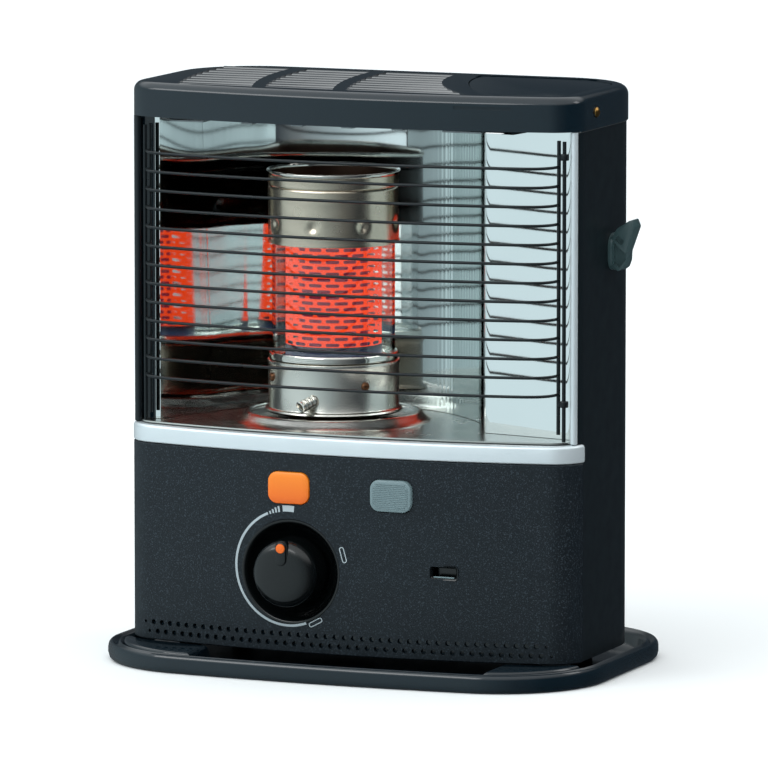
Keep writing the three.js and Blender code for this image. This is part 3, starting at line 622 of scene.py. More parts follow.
def combined(whole: bmesh.types.BMesh, tool: bmesh.types.BMesh, operation: str) -> bmesh.types.BMesh:
    """Adds, subtracts or intersects two closed meshes.

    Args:
        whole: The first mesh, which is used up.
        tool: The second, used up as well. Its own surfaces may not cross.
        operation: UNION, DIFFERENCE or INTERSECT.

    Returns:
        The result.
    """
    body, cutter = temporary(whole), temporary(tool)
    change = body.modifiers.new("change", "BOOLEAN")
    change.operation = operation
    change.solver = "EXACT"
    change.object = cutter
    result = bmesh.new()
    result.from_object(body, bpy.context.evaluated_depsgraph_get())
    for made in (body, cutter):
        data = made.data
        bpy.data.objects.remove(made)
        bpy.data.meshes.remove(data)
    return result


def cut(whole: bmesh.types.BMesh, *tools: bmesh.types.BMesh) -> bmesh.types.BMesh:
    """Cuts each tool out of the mesh in turn.

    Args:
        whole: The mesh, which is used up.
        tools: The closed meshes to cut out. Tools that cross are given one by one.

    Returns:
        The cut mesh.
    """
    for tool in tools:
        whole = combined(whole, tool, "DIFFERENCE")
    return whole


def wire(points: Sequence[Point], radius: float, sides: int = 2, smooth: bool = True) -> bmesh.types.BMesh:
    """Runs a round wire through points in millimetres.

    Args:
        points: The points of its centre line.
        radius: The wire's radius.
        sides: The bevel resolution of its section.
        smooth: True bends it through the points, False keeps straight runs.

    Returns:
        The wire's mesh, capped at both ends.
    """
    curve = bpy.data.curves.new("wire", "CURVE")
    curve.dimensions = "3D"
    curve.bevel_depth = radius * MM
    curve.bevel_resolution = sides
    curve.resolution_u = 5
    curve.use_fill_caps = True
    spline = curve.splines.new("BEZIER" if smooth else "POLY")
    if smooth:
        spline.bezier_points.add(len(points) - 1)
        for knot, point in zip(spline.bezier_points, points):
            knot.co = Vector(point) * MM
            knot.handle_left_type = knot.handle_right_type = "AUTO"
    else:
        spline.points.add(len(points) - 1)
        for knot, point in zip(spline.points, points):
            knot.co = (*[c * MM for c in point], 1.0)
    holder = bpy.data.objects.new("wire", curve)
    bpy.context.scene.collection.objects.link(holder)
    bpy.context.view_layer.update()
    mesh = bpy.data.meshes.new_from_object(holder.evaluated_get(bpy.context.evaluated_depsgraph_get()))
    bm = bmesh.new()
    bm.from_mesh(mesh)
    bpy.data.objects.remove(holder)
    bpy.data.curves.remove(curve)
    bpy.data.meshes.remove(mesh)
    bmesh.ops.remove_doubles(bm, verts=bm.verts, dist=0.002 * MM)
    return bm


def piece(name: str, bm: bmesh.types.BMesh, finish: Finish, body: str, replaces: Sequence[str] = (),
          smooth_angle: float = 32.0) -> bpy.types.Object:
    """Makes a finished piece, dresses it and puts it on its CAD body.

    Args:
        name: The piece's name.
        bm: Its mesh, which is used up.
        finish: What it is made of.
        body: The CAD body that it rides on.
        replaces: The CAD nodes that it is shown in place of.
        smooth_angle: Edges sharper than this many degrees stay sharp.

    Returns:
        The new object.
    """
    mesh = bpy.data.meshes.new(name)
    bm.to_mesh(mesh)
    bm.free()
    mesh.shade_smooth()
    mesh.set_sharp_from_angle(angle=math.radians(smooth_angle))
    mesh.materials.clear()
    mesh.materials.append(finish.material())
    made = bpy.data.objects.new(name, mesh)
    bpy.context.scene.collection.objects.link(made)
    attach(made, body)
    if replaces:
        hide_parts(*replaces)
    LOG.info("%s: %d faces on %s", name, len(mesh.polygons), body)
    return made


def smooth_path(points: Sequence[Point], steps: int) -> list[Point]:
    """Draws a smooth plan line through points.

    Args:
        points: The points in order.
        steps: Parts between each two points.

    Returns:
        The line's points.
    """
    padded = [points[0], *points, points[-1]]
    line = []
    for before, start, end, after in zip(padded, padded[1:], padded[2:], padded[3:]):
        for i in range(steps):
            t = i / steps
            weights = (-0.5 * t + t * t - 0.5 * t ** 3, 1.0 - 2.5 * t * t + 1.5 * t ** 3,
                       0.5 * t + 2.0 * t * t - 1.5 * t ** 3, -0.5 * t * t + 0.5 * t ** 3)
            line.append(tuple(sum(w * p[k] for w, p in zip(weights, (before, start, end, after))) for k in (0, 1)))
    return [*line, tuple(points[-1])]


# ---- sub-assemblies -----------------------------------------------------------------------------


@dataclass
class DripTray:
    """The drip tray with its rolled rim and its two front seats."""

    rim: float = 15.0
    floor: float = 3.0
    seat_top: float = 16.4
    seat_inner: tuple[float, float] = (-119.0, 142.0)
    seat_slope: float = 9.0

    def build(self) -> None:
        """Builds the tray."""
        profile = [(7.0, 0.0), (3.0, 0.6), (1.0, 2.4), (0.0, 6.0), (0.0, 10.0), (0.5, 12.8), (1.8, 14.6),
                   (3.2, self.rim), (4.4, 14.4), (5.2, 12.9), (6.6, 12.2), (8.0, 12.9), (8.8, 14.2), (9.9, 14.7),
                   (11.0, 14.0), (12.2, 11.0), (13.6, 5.4), (15.0, 3.6), (18.0, self.floor)]
        tray = loft([level(TRAY_PLAN.outline(inset), z) for inset, z in profile])
        for inner in self.seat_inner:
            tray = combined(tray, self.seat(inner), "UNION")
        piece("drip_tray_pressing", tray, ENAMEL, CABINET, ["drip_tray"], 38.0)

    def seat(self, inner: float) -> bmesh.types.BMesh:
        """Builds one raised corner seat with its sloped inner end.

        Args:
            inner: The X of that end, whose sign gives the side.

        Returns:
            The seat's mesh.
        """
        side = math.copysign(1.0, inner)
        low, high = 2.0, self.seat_top
        ends = [(inner - side * self.seat_slope, low), (inner - side * self.seat_slope * 0.72, low + 1.6),
                (inner - side * self.seat_slope * 0.28, high - 1.6), (inner, high), (side * 212.0, high),
                (side * 212.0, low)]
        room = prism(upright(ends, -140.0), (0.0, 70.0, 0.0))
        steps = [(12.4, 2.0), (12.8, self.seat_top - 2.2), (13.8, self.seat_top - 0.6), (15.4, self.seat_top)]
        raised = loft([level(TRAY_PLAN.outline(inset), z) for inset, z in steps])
        seat = combined(raised, room, "INTERSECT")
        body_room = prism(level(BODY_PLAN.outline(-5.5), 1.0), (0.0, 0.0, 40.0))
        return bevelled(cut(seat, body_room), 1.6, 3, 30.0)


@dataclass
class Casing:
    """The pressed casing with its front hems, rear air slots and battery door."""

    sheet: float = 1.5
    bottom: float = 16.5
    top: float = 445.5
    hem_x: float = 190.5
    hem_y: float = -61.5
    hem_radius: float = 3.1
    hem_bottom: float = 194.0
    slot_z: tuple[float, ...] = (404.0, 413.0, 422.0, 431.0)

    def build(self) -> None:
        """Builds the casing, its hems and the battery cover."""
        shell = loft([level(BODY_PLAN.outline(inset), z) for inset, z in (
            (0.0, self.bottom), (0.0, self.top), (self.sheet, self.top), (self.sheet, self.bottom))], closed=True)
        front = block((-self.hem_x, -120.0, 0.0), (self.hem_x, -40.0, self.top + 1))
        door = prism(upright(rounded(-88.0, 130.0, 71.4, 77.4, 3.0), 90.0), (0.0, 20.0, 0.0))
        slots = merged(*[prism(upright(rounded(x, z + 1.5, 80.0, 3.4, 1.6, 5), 90.0), (0.0, 20.0, 0.0))
                         for z in self.slot_z for x in (-60.0, 60.0)])
        shell = cut(shell, front, door, slots)
        piece("cabinet_casing_pressing", merged(shell, self.hem(-1)), SATIN_ENAMEL, CABINET,
              ["cabinet_casing"], 30.0)
        # The right hem is given silver paint as a painted highlight, while the left one stays in the casing's enamel.
        piece("right_hem_painted_highlight", self.hem(1), SILVER_PAINT, CABINET, (), 40.0)
        # A thin polished strip along the casing's top edge, put there as a painted highlight line under the cover.
        edge = loft([level(BODY_PLAN.outline(inset), z) for inset, z in (
            (-0.7, self.top - 0.4), (-0.9, self.top), (-0.7, self.top + 0.4), (0.6, self.top + 0.4),
            (0.6, self.top - 0.4))], closed=True)
        edge = combined(edge, block((-200.0, -58.0, 0.0), (200.0, 110.0, 460.0)), "INTERSECT")
        piece("casing_top_highlight_strip", edge, BRIGHT_STEEL, CABINET, (), 40.0)
        cover = bevelled(prism(upright(rounded(-88.0, 130.2, 70.0, 75.6, 3.0), 98.6), (0.0, 1.7, 0.0)), 0.5)
        pull = bevelled(prism(upright(rounded(-88.0, 162.0, 22.0, 5.0, 2.0), 100.0), (0.0, 2.4, 0.0)), 0.8)
        lines = [bevelled(block((-118.0, 100.1, z), (-58.0, 100.7, z + 1.0)), 0.25, 1) for z in range(104, 152, 6)]
        piece("battery_cover_moulding", merged(cover, pull, *lines), BLACK_ABS, "battery_cover",
              ["battery_cover"])

    def hem(self, side: int) -> bmesh.types.BMesh:
        """Builds one rolled hem at the open front.

        Args:
            side: -1 for the left one, 1 for the right one.

        Returns:
            The hem's mesh.
        """
        return turned([(0.0, self.hem_bottom), (self.hem_radius - 0.6, self.hem_bottom),
                       (self.hem_radius, self.hem_bottom + 0.6), (self.hem_radius, self.top), (0.0, self.top)],
                      (side * self.hem_x, self.hem_y, 0.0), steps=28, closed=False)


@dataclass
class TopCover:
    """The top cover with its louvre bays, its tank lid and its screws."""

    bottom: float = 446.0
    top: float = 474.0
    rounding: float = 8.0
    skin: float = 1.6
    slats: int = 9
    hinge_y: float = 78.0
    hinge_z: float = 469.4
    screw: Point = (-28.0, 459.0)
    bays: tuple[tuple[float, float, float, float], ...] = (
        (-176.0, 0.00095, -112.0, 0.00115), (-102.0, 0.00105, -40.0, 0.0011), (-31.0, 0.00105, 34.0, 0.0026))

    @staticmethod
    def sweep(rear_x: float, bend: float, y: float) -> float:
        """Returns the X of an edge that sweeps to the left towards the rear."""
        return rear_x + bend * (88.0 - y) ** 2

    def lid_left(self, y: float, inset: float) -> float:
        """Returns the lid's left edge at y."""
        return self.sweep(55.0, 0.0026, y) + inset

    def lid_right(self, y: float, inset: float) -> float:
        """Returns the lid's right edge at y."""
        return 182.0 - 0.033 * max(0.0, y - 45.0) ** 2 - inset

    def swept(self, left: Callable[[float], float], right: Callable[[float], float], y0: float, y1: float, z0: float,
              z1: float) -> bmesh.types.BMesh:
        """Builds a block between two swept edges.

        Args:
            left: Gives the left edge's X at a Y.
            right: Gives the right edge's X at a Y.
            y0: The front.
            y1: The rear.
            z0: The bottom.
            z1: The top.

        Returns:
            The block.
        """
        steps = 16
        run = [y0 + (y1 - y0) * i / steps for i in range(steps + 1)]
        outline = [(right(y), y) for y in run] + [(left(y), y) for y in reversed(run)]
        return prism(level(outline, z0), (0.0, 0.0, z1 - z0))

    def shell(self, inset: float, bottom: float, top: float, rounding: float) -> bmesh.types.BMesh:
        """Builds a solid with the cover's plan and a rounded top edge.

        Args:
            inset: How far inside the body's plan it lies.
            bottom: Its bottom.
            top: Its top.
            rounding: The top edge's radius.

        Returns:
            The solid.
        """
        steps = 7
        rings = [(inset, bottom), (inset, top - rounding)]
        for i in range(1, steps + 1):
            turn = math.pi / 2 * i / steps
            rings.append((inset + rounding * (1 - math.cos(turn)), top - rounding * (1 - math.sin(turn))))
        return loft([level(BODY_PLAN.outline(k), z) for k, z in rings])

    def lid_solid(self, inset: float, rear: float, z0: float, z1: float) -> bmesh.types.BMesh:
        """Builds a slab with the lid's outline.

        Args:
            inset: How far inside the outline it lies.
            rear: Its rear edge's Y.
            z0: Its bottom.
            z1: Its top.

        Returns:
            The slab.
        """
        slab = self.swept(lambda y: self.lid_left(y, inset), lambda y: self.lid_right(y, inset), -90.0, rear, z0, z1)
        room = prism(level(BODY_PLAN.outline(9.5 + inset), z0 - 1), (0.0, 0.0, z1 - z0 + 2))
        return combined(slab, room, "INTERSECT")

    def build(self) -> None:
        """Builds the cover, its slats, the lid and the screws."""
        cover = self.shell(-1.4, self.bottom, self.top, self.rounding)
        cover = cut(cover, self.shell(0.2, self.bottom - 5.0, self.top - self.skin, self.rounding - 1.0))
        openings = []
        for left_x, left_bend, right_x, right_bend in self.bays:
            openings.append(self.swept(lambda y: self.sweep(left_x, left_bend, y) + 2.0,
                                       lambda y: self.sweep(right_x, right_bend, y) - 2.0, -77.0, 82.0,
                                       self.top - 6.0, self.top + 6.0))
        dent = loft([level(BODY_PLAN.outline(k), z) for k, z in (
            (-3.0, 463.4), (-0.5, 463.4), (-0.3, 464.6), (-0.5, 465.8), (-3.0, 465.8))], closed=True)
        recess = combined(dent, block((98.0, -120.0, 460.0), (144.0, -60.0, 470.0)), "INTERSECT")
        cover = cut(cover, merged(*openings), self.lid_solid(0.0, self.hinge_y - 1.0, self.top - 6.0, self.top + 6.0),
                    block((53.0, self.hinge_y - 8.0, self.top - 6.0), (158.5, self.hinge_y + 4.7, self.top + 6.0)),
                    recess)
        ears = [block((x0, self.hinge_y - 3.5, 465.2), (x1, self.hinge_y + 10.0, 471.2))
                for x0, x1 in ((66.0, 68.5), (141.5, 144.0))]
        piece("top_cover_pressing", merged(cover, *ears), ENAMEL, CABINET, ["top_cover"], 30.0)
        self.louvres()
        self.lid()
        for name, side in (("left", -1), ("right", 1)):
            self.cover_screw(name, side)

    def louvres(self) -> None:
        """Builds the tilted slats of the three bays."""
        section = [(-7.8, -5.6), (-7.0, -6.2), (0.0, -2.9), (5.4, -1.0), (7.4, -1.0), (7.6, -0.4), (4.6, -0.2),
                   (-1.0, -1.8)]
        for number, (left_x, left_bend, right_x, right_bend) in enumerate(self.bays, 1):
            slats = []
            for i in range(self.slats):
                y = -69.0 + i * 18.0
                slats.append(self.slat([(y + dy, self.top + dz) for dy, dz in section],
                                       lambda v: self.sweep(left_x, left_bend, v) + 1.2,
                                       lambda v: self.sweep(right_x, right_bend, v) - 1.2))
            piece(f"louvre_slats_{number}", merged(*slats), WET_ENAMEL, CABINET, (), 25.0)

    def slat(self, section: Sequence[Point], left: Callable[[float], float],
             right: Callable[[float], float]) -> bmesh.types.BMesh:
        """Carries a section from one swept edge to the other.

        Args:
            section: The section's points in Y and Z.
            left: Gives the left edge's X at a Y.
            right: Gives the right edge's X at a Y.

        Returns:
            The slat.
        """
        bm = bmesh.new()
        face = bm.faces.new([bm.verts.new(Vector((left(y), y, z)) * MM) for y, z in section])
        grown = bmesh.ops.extrude_face_region(bm, geom=[face], use_keep_orig=True)["geom"]
        for vert in grown:
            if isinstance(vert, bmesh.types.BMVert):
                vert.co.x = right(vert.co.y / MM) * MM
        bmesh.ops.recalc_face_normals(bm, faces=bm.faces)
        return bm

    def lid(self) -> None:
        """Builds the tank lid with its skirt and hinge knuckles."""
        plate = bevelled(self.lid_solid(0.9, self.hinge_y - 1.6, self.top - 2.4, self.top - 0.2), 0.7, 3)
        skirt = cut(self.lid_solid(2.5, self.hinge_y - 6.0, self.top - 8.0, self.top - 2.3),
                    self.lid_solid(4.0, self.hinge_y - 7.5, self.top - 9.0, self.top - 1.0))
        rooms = [block((x0 - 0.8, self.hinge_y - 4.5, 460.0), (x1 + 0.8, self.hinge_y + 9.0, 480.0))
                 for x0, x1 in ((66.0, 68.5), (141.5, 144.0))]
        barrels = []
        for x0, x1 in ((70.0, 82.0), (128.0, 140.0)):
            barrels.append(rod((x0, self.hinge_y, self.hinge_z), (x1, self.hinge_y, self.hinge_z), 2.5))
            barrels.append(block((x0, self.hinge_y - 4.0, self.hinge_z + 0.8), (x1, self.hinge_y, self.top - 1.4)))
        lid = merged(cut(merged(plate, skirt), merged(*rooms)), *barrels)
        piece("tank_lid_pressing", lid, ENAMEL, "tank_lid", ["tank_lid"])

    def cover_screw(self, name: str, side: int) -> None:
        """Builds one domed cross-head screw on the cover's side.

        Args:
            name: The side's name, for the piece.
            side: -1 for the left one, 1 for the right one.
        """
        y, z = self.screw
        edge = 196.7
        profile = [(0.0, 2.4), (1.8, 2.3), (3.2, 1.7), (4.1, 0.7), (4.2, 0.0), (1.8, 0.0), (1.8, -2.0), (0.0, -2.0)]
        head = turned(profile, (0.0, y, z), Axis.X, 24, closed=False)
        bmesh.ops.scale(head, vec=(side, 1.0, 1.0), verts=head.verts, space=Matrix.Translation((0.0, -y * MM, -z * MM)))
        bmesh.ops.translate(head, vec=(side * edge * MM, 0.0, 0.0), verts=head.verts)
        bmesh.ops.recalc_face_normals(head, faces=head.faces)
        inner, outer = sorted((side * (edge + 1.5), side * (edge + 3.0)))
        head = cut(head, block((inner, y - 2.0, z - 0.35), (outer, y + 2.0, z + 0.35)),
                   block((inner, y - 0.35, z - 2.0), (outer, y + 0.35, z + 2.0)))
        piece(f"cover_screw_{name}_head", head, BRASS, CABINET, [f"cover_screw_{name}"])


@dataclass
class FrontPanel:
    """The textured front panel with its printed marks, air holes, trim band and gauge."""

    bottom: float = 16.5
    top: float = 178.5
    knob: Point = (-41.0, 82.3)
    dish: float = 43.0
    marks_centre: Point = (-43.5, 85.4)
    marks_radius: float = 47.2
    trim_bottom: float = 179.2
    trim_top: float = 193.6
    hole_rows: tuple[tuple[float, float], ...] = ((31.0, -178.0), (23.5, -174.0))
    hole_pitch: float = 8.0
    holes_per_row: int = 45
    hole_radius: float = 2.2
    gauge: Point = (90.6, 88.3)

    def build(self) -> None:
        """Builds the panel and everything that is fixed to it."""
        self.panel()
        self.trim()
        self.marks()
        self.gauge_recess()

    def skin(self, outer: float, inner: float, z0: float, z1: float, rear: float,
             softness: float = 0.8) -> bmesh.types.BMesh:
        """Builds the front part of a wall that follows the body's plan, its outer edges softened.

        Args:
            outer: The inset of its outside.
            inner: The inset of its inside.
            z0: Its bottom.
            z1: Its top.
            rear: The Y where it ends.
            softness: The softened edges' width.

        Returns:
            The wall.
        """
        rings = [(outer + softness, z0), (outer, z0 + softness), (outer, z1 - softness), (outer + softness, z1),
                 (inner, z1), (inner, z0)]
        ring = loft([level(BODY_PLAN.outline(k, 16, 48), z) for k, z in rings], closed=True)
        return combined(ring, block((-200.0, -112.0, 0.0), (200.0, rear, 300.0)), "INTERSECT")

    def panel(self) -> None:
        """Builds the panel with its openings and rows of air holes."""
        panel = self.skin(-2.4, -0.5, self.bottom, self.top, -56.0)
        x, z = self.knob
        tools = [rod((x, -112.0, z), (x, -80.0, z), self.dish + 0.3, 96)]
        for control in (IGNITION, SHUTOFF):
            tools.append(prism(upright(rounded(*control, 37.0, 27.0, 8.4), -112.0), (0.0, 32.0, 0.0)))
        tools.append(prism(upright(rounded(*self.gauge, 23.0, 10.0, 2.0), -112.0), (0.0, 32.0, 0.0)))
        for row_z, start in self.hole_rows:
            for i in range(self.holes_per_row):
                hole_x = start + i * self.hole_pitch
                end = i in (0, self.holes_per_row - 1)
                radius = self.hole_radius * (0.6 if end else 1.0)
                tools.append(rod((hole_x, -112.0, row_z), (hole_x, -58.0, row_z), radius, 12))
        # A dark sheet just behind the air holes, put there as painted shade so that the holes read black.
        hole_shade_sheet = self.skin(0.4, 0.9, 17.0, 38.0, -62.0, 0.1)
        piece("air_hole_shade_sheet", hole_shade_sheet, ENAMEL, CABINET)
        piece("front_panel_skin", cut(panel, merged(*tools)), GRIT_PAINT, CABINET,
              ["front_panel"], 28.0)

    def trim(self) -> None:
        """Builds the silver band with its turned-in lip."""
        rings = [(-1.9, self.trim_bottom), (-2.6, self.trim_bottom + 0.8), (-2.6, self.trim_top - 2.6),
                 (-1.9, self.trim_top - 0.9), (-0.4, self.trim_top - 0.1), (1.4, self.trim_top), (7.0, self.trim_top),
                 (7.0, self.trim_top - 1.0), (-0.5, self.trim_top - 1.2), (-0.5, self.trim_bottom)]
        ring = loft([level(BODY_PLAN.outline(k, 16, 48), z) for k, z in rings], closed=True)
        band = combined(ring, block((-200.0, -112.0, 0.0), (200.0, -54.0, 300.0)), "INTERSECT")
        piece("front_trim", band, SILVER_PAINT, CABINET, ["front_trim_band"], 40.0)

    def mark(self, outline: Sequence[Point], hole: Sequence[Point] = ()) -> bmesh.types.BMesh:
        """Returns a thin printed mark that lies on the bowed panel.

        Args:
            outline: Its outline in X and Z.
            hole: An inner outline with as many points, for a mark that is a ring.

        Returns:
            The mark's mesh.
        """
        bm = bmesh.new()
        for points in (outline, hole):
            verts = [bm.verts.new(p) for p in upright(points, 0.0)]
            if points and hole:
                for a, b in zip(verts, verts[1:] + verts[:1]):
                    bm.edges.new((a, b))
            elif points:
                bm.faces.new(verts)
        if hole:
            bmesh.ops.bridge_loops(bm, edges=bm.edges)
        grown = bmesh.ops.extrude_face_region(bm, geom=list(bm.faces), use_keep_orig=True)["geom"]
        front = {v for v in grown if isinstance(v, bmesh.types.BMVert)}
        for vert in bm.verts:
            proud = -2.52 if vert in front else -2.2
            vert.co.y = BODY_PLAN.front_y(vert.co.x / MM, proud) * MM
        bmesh.ops.recalc_face_normals(bm, faces=bm.faces)
        return bm

    def band(self, radius: float, width: float, start: float, end: float, steps: int) -> bmesh.types.BMesh:
        """Prints part of a ring round the knob.

        Args:
            radius: The ring's middle radius.
            width: Its width.
            start: Its start, in clock degrees from 12 o'clock.
            end: Its end.
            steps: Parts along it.

        Returns:
            The mark's mesh.
        """
        x, z = self.marks_centre
        turns = [math.radians(90.0 - a) for a in (start, end)]
        outer = arc(x, z, radius + width / 2, turns[0], turns[1], steps)
        inner = arc(x, z, radius - width / 2, turns[1], turns[0], steps)
        return self.mark(outer + inner)

    def pill(self, radius: float, at: float, length: float, width: float, lean: float) -> bmesh.types.BMesh:
        """Prints an outlined pill beside the ring.

        Args:
            radius: Its distance from the ring's centre.
            at: Its clock angle in degrees.
            length: Its length.
            width: Its width.
            lean: Its own turn in degrees.

        Returns:
            The mark's mesh.
        """
        turn = math.radians(90.0 - at)
        x = self.marks_centre[0] + radius * math.cos(turn)
        z = self.marks_centre[1] + radius * math.sin(turn)
        spin = math.radians(lean)

        def leaned(inset: float) -> list[Point]:
            """Draws the pill's outline, turned about its centre.

            Args:
                inset: How far inside the pill it lies.

            Returns:
                The points in X and Z.
            """
            flat = rounded(0.0, 0.0, length - 2 * inset, width - 2 * inset, width / 2 - inset - 0.01, 6)
            return [(x + a * math.cos(spin) - b * math.sin(spin), z + a * math.sin(spin) + b * math.cos(spin))
                    for a, b in flat]

        return self.mark(leaned(0.0), leaned(0.75))

    def marks(self) -> None:
        """Builds the printed setting marks round the knob."""
        r = self.marks_radius
        prints = [self.band(r, 2.0, 160.0, 337.5, 60)]
        prints += [self.band(r + 0.4 * i, 2.6 + 0.8 * i, -20.6 + 3.3 * i, -19.0 + 3.4 * i, 3) for i in range(4)]
        prints.append(self.band(r + 1.4, 5.0, -5.6, 6.4, 8))
        prints.append(self.pill(r + 3.3, 74.6, 13.4, 4.2, 106.0))
        prints.append(self.pill(r + 2.5, 150.4, 13.0, 4.2, 28.0))
        piece("setting_marks", merged(*prints), PRINT_INK, CABINET, (), 20.0)

    def gauge_recess(self) -> None:
        """Builds the fuel gauge's dark recess and its sloped lower lip."""
        x, z = self.gauge
        rings = [(24.6, 11.6, 2.6, -97.0), (22.4, 9.6, 1.8, -96.6), (20.0, 7.4, 1.2, -90.0), (20.0, 7.4, 1.2, -88.2)]
        base = BODY_PLAN.front_y(x, -2.4)
        shift = base + 96.9
        outer = rounded(x, z, 22.6, 9.7, 1.9)
        frame_mesh = loft([upright(rounded(x, z, w, h, r), y + shift if y < -92 else y) for w, h, r, y in rings]
                          + [upright(outer, -88.2), upright(outer, base + 0.6)], closed=True)
        piece("fuel_gauge_frame", frame_mesh, BLACK_ABS, CABINET, ["fuel_gauge_window"], 40.0)
        lip = bevelled(prism(upright(rounded(x, z - 3.7, 18.0, 1.0, 0.45, 4), -90.0), (0.0, -2.0, 0.0)), 0.2, 1)
        piece("fuel_gauge_lip", lip, GREY_ABS, CABINET)


@dataclass
class Controls:
    """The wick knob in its dish and the two push buttons."""

    x: float = -41.0
    z: float = 82.3
    dish: float = 43.0

    def build(self) -> None:
        """Builds the dish, the knob and both buttons."""
        self.bezel()
        self.knob()
        self.button("ignition", IGNITION, ORANGE_ABS, ribs=0)
        self.button("shutoff", SHUTOFF, GREY_ABS, ribs=14)

    def bezel(self) -> None:
        """Builds the dish with its rolled edge and its stepped floor."""
        r = self.dish
        rim = BODY_PLAN.front_y(self.x, -2.4) - 0.6
        profile = [(4.5, -80.0), (4.5, -81.6), (29.6, -81.6), (30.4, -82.4), (33.0, -83.0), (36.2, -86.2),
                   (38.8, rim + 3.2), (40.3, rim + 0.8), (41.6, rim), (42.8, rim + 0.3), (r, rim + 1.2), (r, -80.0)]
        piece("knob_dish", turned(profile, (self.x, 0.0, self.z), Axis.Y, 128), BLACK_ABS, CABINET,
              ["knob_bezel"], 50.0)

    def knob(self) -> None:
        """Builds the domed knob, its pointer and the pointer's dot."""
        profile = [(0.0, -117.4), (9.0, -117.2), (16.0, -116.6), (21.4, -115.4), (25.0, -113.3), (27.0, -110.2),
                   (27.9, -106.0), (28.2, -100.0), (28.6, -92.0), (28.4, -87.0), (27.8, -84.8), (27.0, -84.2),
                   (3.0, -84.2), (3.0, -92.4), (0.0, -92.4)]
        dome = turned(profile, (self.x, 0.0, self.z), Axis.Y, 96, closed=False)
        pointer = bevelled(prism(upright(self.tab(4.7), -98.0), (0.0, -20.4, 0.0)), 1.0, 3)
        rim = bevelled(prism(upright(self.tab(5.6), -98.0), (0.0, -18.6, 0.0)), 0.5, 2)
        piece("wick_knob_moulding", merged(dome, pointer, rim), BLACK_ABS, "wick_knob", ["wick_knob"],
              40.0)
        dot = turned([(0.0, -119.7), (2.8, -119.6), (3.6, -119.2), (3.9, -118.4), (0.0, -118.4)],
                     (self.x, 0.0, self.z + 22.0), Axis.Y, 32, closed=False)
        piece("pointer_dot", dot, ORANGE_ABS, "wick_knob", ["knob_pointer_dot"])

    def tab(self, half: float) -> list[Point]:
        """Draws the pointer's outline, round at both ends.

        Args:
            half: Half its width.

        Returns:
            The points in X and Z.
        """
        low = self.z + 12.5
        high = self.z + 22.4
        return (arc(self.x, high, half, 0.0, math.pi, 12) + arc(self.x, low, half, math.pi, 2 * math.pi, 12))

    def button(self, name: str, place: Point, finish: Finish, ribs: int) -> None:
        """Builds one push button with a crowned face.

        Args:
            name: The button's name.
            place: Its centre in X and Z.
            finish: What it is made of.
            ribs: How many ribs are on its face.
        """
        x, z = place
        face = BODY_PLAN.front_y(x) - 5.0
        steps = [(36.0, 26.0, 8.0, face + 12.0), (36.0, 26.0, 8.0, face + 1.8), (35.2, 25.2, 7.6, face + 0.8),
                 (33.4, 23.4, 6.8, face + 0.25), (26.0, 16.0, 4.0, face)]
        cap = loft([upright(rounded(x, z, w, h, r), y) for w, h, r, y in steps])
        parts = [cap]
        for i in range(ribs):
            rib_z = z - 9.75 + i * 1.5
            half = 15.2 if 1 < i < ribs - 2 else 13.0
            rib = block((x - half, face - 0.5, rib_z - 0.45), (x + half, face + 0.6, rib_z + 0.45))
            parts.append(bevelled(rib, 0.25, 1))
        parts.append(block((x - 4.0, face + 1.0, z - 3.0), (x + 4.0, face + 20.0, z + 3.0)))
        piece(f"{name}_button_cap", merged(*parts), finish, f"{name}_button", [f"{name}_button"], 35.0)


